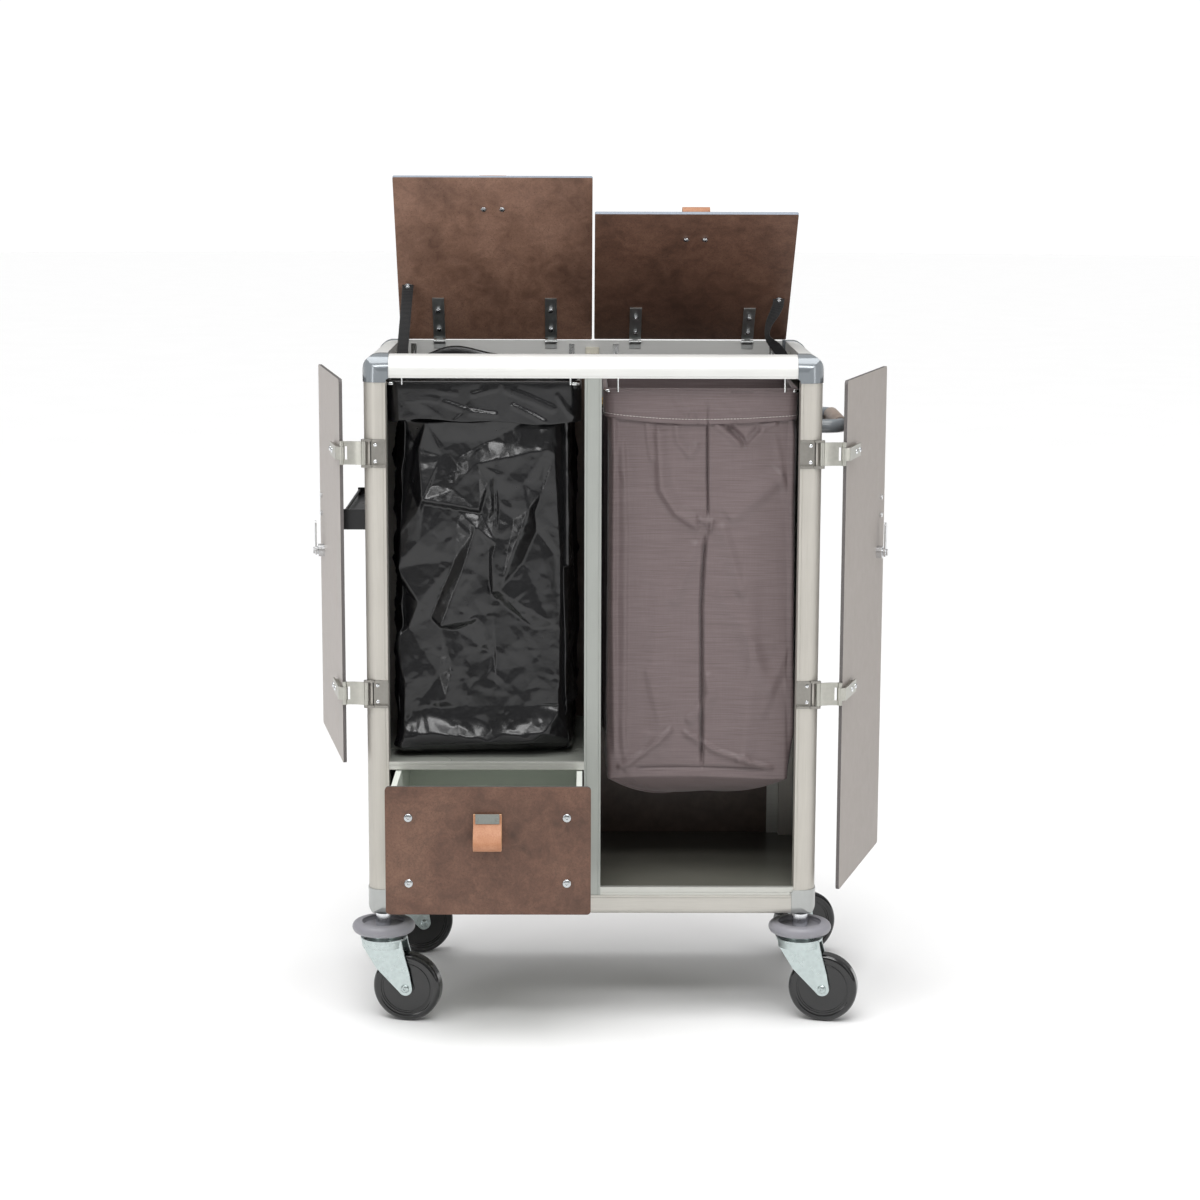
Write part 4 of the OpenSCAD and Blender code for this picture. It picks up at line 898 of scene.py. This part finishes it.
def laundry_bag():
    rng = np.random.default_rng(5)
    x0, x1, y0, y1 = 22, 362, 54.5, 371.5
    loop, per = rounded_loop(x0, x1, y0, y1, 14, 150, 90, 8)
    X, Y, NX, NY, U, Fc = loop.T
    nu = len(loop)
    W = x1 - x0 - 28
    mid = W * .508
    rows = []
    for z in np.linspace(1100, 1146, 14): rows.append(("hem", z))
    for a in range(0, 181, 20): rows.append(("roll", a))
    for z in np.linspace(1144, 440, 190): rows.append(("body", z))
    for k in np.linspace(0, 1, 22): rows.append(("foot", k))
    soft = [([(114.5, 1093.9), (122.0, 968.6), (149.1, 925.9), (185.1, 901.9), (203.4, 907.8)], 8, 26, 15),
            ([(145.6, 1089.4), (151.2, 1053.8), (172.8, 1029.2), (190.4, 1053.8)], 4, 16, 12),
            ([(94.5, 1096.1), (99.2, 1053.8), (106.1, 1013.5)], 3, 14, 10),
            ([(203.4, 1091.7), (204.3, 1000.0), (206.4, 914.6)], -17, 3.4, 3.0),
            ([(211.5, 901.9), (203.7, 878.5), (199.8, 815.0), (197.7, 751.2), (199.9, 613.7), (200.6, 446.9)], -19, 3.2, 7.5),
            ([(187.2, 914.6), (203.4, 907.8), (214.1, 910.1), (208.0, 887.5)], 7, 7, 6),
            ([(236.7, 1085.9), (272.7, 1053.8), (301.2, 1085.9)], -7, 12, 12),
            ([(212.3, 1089.4), (243.6, 1067.1), (268.3, 1047.1)], 5, 10, 14),
            ([(270.6, 1047.1), (305.7, 1082.8), (332.2, 1093.9)], 4, 16, 12),
            ([(236.4, 910.1), (285.1, 950.6), (346.9, 1004.5)], 5, 46, 26),
            ([(227.5, 914.6), (245.9, 860.3), (264.6, 796.8), (269.4, 769.5)], 4, 16, 26),
            ([(36.5, 1151.7), (38.0, 977.6), (37.6, 751.2), (40.6, 456.2)], 6, 9, 12),
            ([(52.2, 1098.4), (59.9, 887.5), (57.4, 456.2)], 4, 8, 22),
            ([(354.5, 1147.3), (355.1, 932.6), (365.0, 456.2)], 5, 16, 8),
            ([(129.7, 833.2), (112.8, 659.7), (123.3, 456.2)], 4, 34, 34),
            ([(273.2, 833.2), (289.1, 636.7), (268.7, 456.2)], 4, 34, 30),
            ([(192.0, 878.5), (174.4, 842.2), (143.7, 751.2)], 4, 20, 26),
            ([(219.7, 796.8), (265.4, 728.4), (330.4, 590.6)], 3, 26, 30)]
    hemf = [([(202.0, 1143.7), (203.1, 1120.6), (204.2, 1094.8)], -8, 3, 3),
            ([(138.5, 1150.8), (149.7, 1129.5), (172.1, 1109.5)], -5, 9, 8),
            ([(211.7, 1142.8), (229.7, 1125.1), (261.0, 1105.0)], 4, 7, 12),
            ([(180.9, 1116.2), (186.4, 1100.6), (184.7, 1093.9)], -4, 5, 5),
            ([(242.7, 1151.7), (269.4, 1138.4), (305.0, 1133.9)], 3, 14, 10)]
    # the box bottom: two diagonal folds to its corners, the seam along its front and a turned-up corner
    soft += [([(149.5, 538.0), (90.0, 487.0), (40.0, 458.0)], 6, 16, 5), ([(157.0, 531.0), (230.0, 490.0), (338.0, 459.0)], 6, 5, 16),
             ([(60.0, 459.5), (120.0, 458.5), (200.0, 458.0), (335.0, 459.5)], -5, 2.6, 2.6), ([(260.0, 474.0), (276.0, 481.0), (290.0, 466.0)], 5, 9, 8),
             ([(205.0, 640.0), (213.0, 590.0), (185.0, 556.0), (165.0, 540.0)], 4, 22, 12)]
    folds = [([(p[0] - (x0 + 14), p[1]) for p in q], A, a, b) for q, A, a, b in soft]
    hemf = [([(p[0] - (x0 + 14), p[1]) for p in q], A, a, b) for q, A, a, b in hemf]
    for k in range(26):
        u0 = rng.uniform(W + 15, per - 15)
        folds.append(([(u0, 1140), (u0 + rng.normal(0, 8), 850), (u0 + rng.normal(0, 16), 450)], rng.uniform(2.5, 7), rng.uniform(12, 34), rng.uniform(12, 34)))
    for k in range(60):
        u0, z0 = rng.uniform(0, per), rng.uniform(440, 1120)
        L = rng.uniform(60, 220)
        dx = rng.normal(0, .35) * L
        folds.append(([(u0 - dx / 2, z0 + L / 2), (u0, z0), (u0 + dx / 2, z0 - L / 2)], rng.uniform(.6, 1.9), rng.uniform(10, 30), rng.uniform(10, 30)))
    V = []
    for kind, v in rows:
        if kind in ("body", "foot"):
            z = v if kind == "body" else 440.0
            h = np.zeros(nu)
            Z = np.full(nu, float(z))
            for pts, A, a, b in folds:
                zs = [p[1] for p in pts]
                if min(zs) - 40 > z or max(zs) + 40 < z: continue
                for off in (0, per, -per):
                    v_ = tent(U + off, Z, pts, 1, a, b, .12)
                    h += 1.35 * A * v_ * v_ * (3 - 2 * v_) if A > -10 else A * v_
            top = np.clip((1108 - z) / 16, 0, 1)
            puck = 1.6 * np.sin(U / 9.0) * np.exp(-((z - 1094) / 16) ** 2)
            drape = 2.2 * np.sin(U / 52 + z / 260) * np.clip((1100 - z) / 200, 0, 1)
            h = (h + puck * .5 + drape) * top - 1.2 * (1 - top) - 5.5 * top - 1.5 * np.sin(np.pi * np.clip((1146 - z) / 700, 0, 1))
            h = np.minimum(h, 4.2 if z < 1086 else .2)
            foot = np.clip((480 - z) / 40, 0, 1)
            px = X + NX * (h - 3 * foot)
            py = Y + NY * (h - 3 * foot)
            Zr = np.full(nu, float(z)) + 2.0 * np.sin(U / 71)
            if kind == "foot":
                cx, cy = (x0 + x1) / 2, 212
                g = v
                px = px + (cx - px) * g * .995
                py = py + (cy - py) * g * .995
                r = 1 - g
                Zr = Zr - 54 * (1 - r ** 2.2) - 3 * np.sin(U / 60) * g * (1 - g) * 4
                Zr = np.maximum(Zr, 386.5)
        elif kind == "roll":
            a = math.radians(v)
            off = 4.3 * math.cos(a)
            px, py = X + NX * off, Y + NY * off
            dip = -5 * np.sin(np.pi * np.clip((X - x0) / (x1 - x0), 0, 1)) * (Y < 80)
            Zr = np.full(nu, 1146.0) + 4.8 * math.sin(a) - 1.2 * (1 - math.sin(a)) * np.sin(np.pi * np.clip((X - x0) / (x1 - x0), 0, 1)) * (Y < 80)
            rear = np.clip((Y - 300) / 60, 0, 1)
            Zr = Zr + rear * 16 * math.sin(a) * (.7 + .3 * np.sin(X / 23))
        else:
            d = (1146 - v) / 46
            pu = 1.0 * np.sin(U / 9) * d + 1.8 * np.sin(U / 31) * np.sin(np.pi * d)
            for hp, A, a_, b_ in hemf:
                t_ = tent(U, np.full(nu, v), hp, 1, a_, b_, .12)
                pu = pu + A * t_ * t_ * (3 - 2 * t_)
            front = (Y < 100)
            g = np.clip((X - x0) / (x1 - x0), 0, 1)
            q = np.clip(pu * .7, -.4 - 7 * d, .9 + 1.6 * d) - 2.6 * d ** 1.5
            px, py = X + NX * (4.0 + q), Y + NY * (4.0 + q)
            Zr = np.full(nu, float(v)) - (d * (11 * np.sin(np.pi * g ** .85) + 5 * g) + (1 - d) * 1.2 * np.sin(np.pi * g)) * front
        px = np.clip(px, 16.5, 367)
        py = np.clip(py, 49.5, 377)
        for i in range(nu):
            V.append(C(px[i], py[i], Zr[i]))
    F = grid_faces(nu, len(rows), True)
    F.append(tuple((len(rows) - 1) * nu + i for i in range(nu)))
    cl = cloth_mat()
    ob = mesh_obj("laundry_bag_cloth", V, F, cl)
    # white stitches along the hem: short raised threads following the cloth
    parts = []
    j = 2
    row = [V[j * nu + i] + Vector((NX[i], NY[i], 0)) * .0006 for i in range(nu)]
    Pn = np.array([tuple(p) for p in row] + [tuple(row[0])])
    seg = np.linalg.norm(np.diff(Pn, axis=0), axis=1)
    cum = np.concatenate([[0], np.cumsum(seg)])
    s = 0.0
    while s < cum[-1] - .005:
        pts = []
        for t in (0, .2, .5, .8, 1):
            d = s + t * .0042
            k = min(np.searchsorted(cum, d) - 1, len(seg) - 1) if d > 0 else 0
            f = (d - cum[k]) / seg[k]
            p = Pn[k] * (1 - f) + Pn[k + 1] * f
            nn = Vector((NX[k % nu], NY[k % nu], 0)) * (.0005 * math.sin(math.pi * t))
            pts.append(Vector(p) + nn)
        parts.append(tube(pts, [.0002, .0004, .00045, .0004, .0002], 6))
        s += .0058
    v, f = merge(parts)
    th = Mat("white_thread", rough=.6, sheen=.2)
    th.set("base", th.ramp(th.noise(900, 2, .5), [(.3, hexc("#D8D2CC")), (.7, hexc("#F3F0EC"))]))
    th.bump(th.noise(2500, 2, .5), .3, .0002)
    st = mesh_obj("laundry_bag_stitches", v, f, th.m)
    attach(st, "cart")
    finish_bag(ob, .0006, "laundry_bag")


laundry_bag()


# ------------------------------------------------------------------ small bag fittings
def ring_mesh(c, R, r, ax, n=28, m=10):
    V, F = [], []
    ax = Vector(ax).normalized()
    a = ax.orthogonal().normalized()
    b = ax.cross(a)
    pts = [Vector(c) + (a * math.cos(2 * math.pi * i / n) + b * math.sin(2 * math.pi * i / n)) * R for i in range(n)]
    return tube(pts, r, m, closed=True)


def fittings():
    brass = metal("brass_eyelets", "#C9A66B", .25, .12, 150, .08, 0)
    parts = []
    for y, z in ((70, 1126), (352, 1126)):
        for k in range(3):
            parts.append(ring_mesh(C(16.6 - .15 * k, y, z), .0052 + .0009 * k, .0009, (1, 0, 0)))
    v, f = merge(parts)
    e = mesh_obj("laundry_bag_eyelets", v, f, brass)
    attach(e, "cart")
    # cream bracket with two small blocks behind the front rail, under the middle of the lids
    m = plastic("cream_bracket_moulding", "#D9D5C6", .42, 0, 500, .1, .05)
    V, F = [], []
    def block(x0, x1, y0, y1, z0, z1, r=1.2):
        # box with chamfered top and front edges
        prof = [(y0, z0), (y0, z1 - r), (y0 + r, z1), (y1 - r, z1), (y1, z1 - r), (y1, z0)]
        o = len(V)
        for x, s in ((x0, r), (x0 + r, 0), (x1 - r, 0), (x1, r)):
            for (y, z) in prof:
                cy, cz = (y0 + y1) / 2, (z0 + z1) / 2
                V.append(C(x, y + (cy - y) * s / max(1, (y1 - y0) / 2) * .8, z + (cz - z) * s / max(1, (z1 - z0) / 2) * .8))
        n = len(prof)
        for i in range(3):
            for k in range(n):
                F.append((o + i * n + k, o + i * n + (k + 1) % n, o + (i + 1) * n + (k + 1) % n, o + (i + 1) * n + k))
        F.append(tuple(o + k for k in range(n))[::-1])
        F.append(tuple(o + 3 * n + k for k in range(n)))
    block(-14, 12, 384, 390, 1176, 1200)
    block(-12, -4, 378, 385, 1180, 1190)
    block(2, 10, 378, 385, 1180, 1190)
    b = mesh_obj("rear_rail_bracket", V, F, m, smooth=False)
    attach(b, "cart")


fittings()


# ------------------------------------------------------------------ floor and light
def stage():
    m = Mat("pale_floor", rough=.55, spec=.2)
    m.set("base", m.ramp(m.noise(2.5, 3, .5), [(.2, (.90, .90, .90)), (.8, (.92, .92, .92))]))
    n = 96
    V = [(0, 0, -.0005)]
    F = []
    for i in range(n):
        a = 2 * math.pi * i / n
        V.append((40 * math.cos(a), 40 * math.sin(a), -.0005))
        F.append((0, i + 1, (i + 1) % n + 1))
    ob = mesh_obj("floor", V, F, m.m, smooth=False)
    w = bpy.data.worlds.new("studio")
    bpy.context.scene.world = w
    w.use_nodes = True
    nt = w.node_tree
    bg = nt.nodes["Background"]
    # a white room whose walls are dimmer than its ceiling; the backdrop itself is white
    tc = nt.nodes.new("ShaderNodeTexCoord")
    sp = nt.nodes.new("ShaderNodeSeparateXYZ")
    rp = nt.nodes.new("ShaderNodeValToRGB")
    nt.links.new(tc.outputs["Generated"], sp.inputs[0])
    mr = nt.nodes.new("ShaderNodeMapRange")
    mr.inputs["From Min"].default_value = -1
    nt.links.new(sp.outputs[2], mr.inputs["Value"])
    nt.links.new(mr.outputs[0], rp.inputs["Fac"])
    e = rp.color_ramp.elements
    for i in range(3):
        e.new(.5)
    for i, (q, v) in enumerate([(.40, .44), (.52, .27), (.66, .27), (.80, .56), (1.0, .82)]):
        e[i].position = q
        e[i].color = (v, v, v, 1)
    nt.links.new(rp.outputs[0], bg.inputs["Color"])
    bg.inputs["Strength"].default_value = 1.0
    white = nt.nodes.new("ShaderNodeBackground")
    white.inputs["Color"].default_value = (1, 1, 1, 1)
    white.inputs["Strength"].default_value = 1.05
    lp = nt.nodes.new("ShaderNodeLightPath")
    mx = nt.nodes.new("ShaderNodeMixShader")
    nt.links.new(lp.outputs["Is Camera Ray"], mx.inputs[0])
    nt.links.new(bg.outputs[0], mx.inputs[1])
    nt.links.new(white.outputs[0], mx.inputs[2])
    nt.links.new(mx.outputs[0], nt.nodes["World Output"].inputs["Surface"])
    sun = bpy.data.lights.new("soft_key", "SUN")
    sun.energy = 1.95
    sun.angle = math.radians(50)
    so = bpy.data.objects.new("soft_key", sun)
    bpy.context.scene.collection.objects.link(so)
    so.rotation_euler = Vector((.10, .20, -.97)).to_track_quat("-Z", "Y").to_euler()

    def area(name, loc, target, sx, sy, power, color=(1, 1, 1)):
        l = bpy.data.lights.new(name, "AREA")
        l.shape = "RECTANGLE"
        l.size, l.size_y = sx, sy
        l.energy = power
        l.color = color
        o = bpy.data.objects.new(name, l)
        bpy.context.scene.collection.objects.link(o)
        o.location = loc
        o.rotation_euler = (Vector(target) - Vector(loc)).to_track_quat("-Z", "Y").to_euler()
    area("top_softbox", (.2, -2.6, 2.9), (0, 0, .8), 2.2, .55, 34)
    area("left_softbox", (-2.8, -2.6, 1.6), (0, 0, .8), .5, 2.4, 15)
    area("right_softbox", (3.0, -2.2, 1.6), (0, 0, .8), .5, 2.4, 11)


stage()
bpy.context.scene.view_settings.view_transform = "Standard"
bpy.context.scene.view_settings.look = "None"
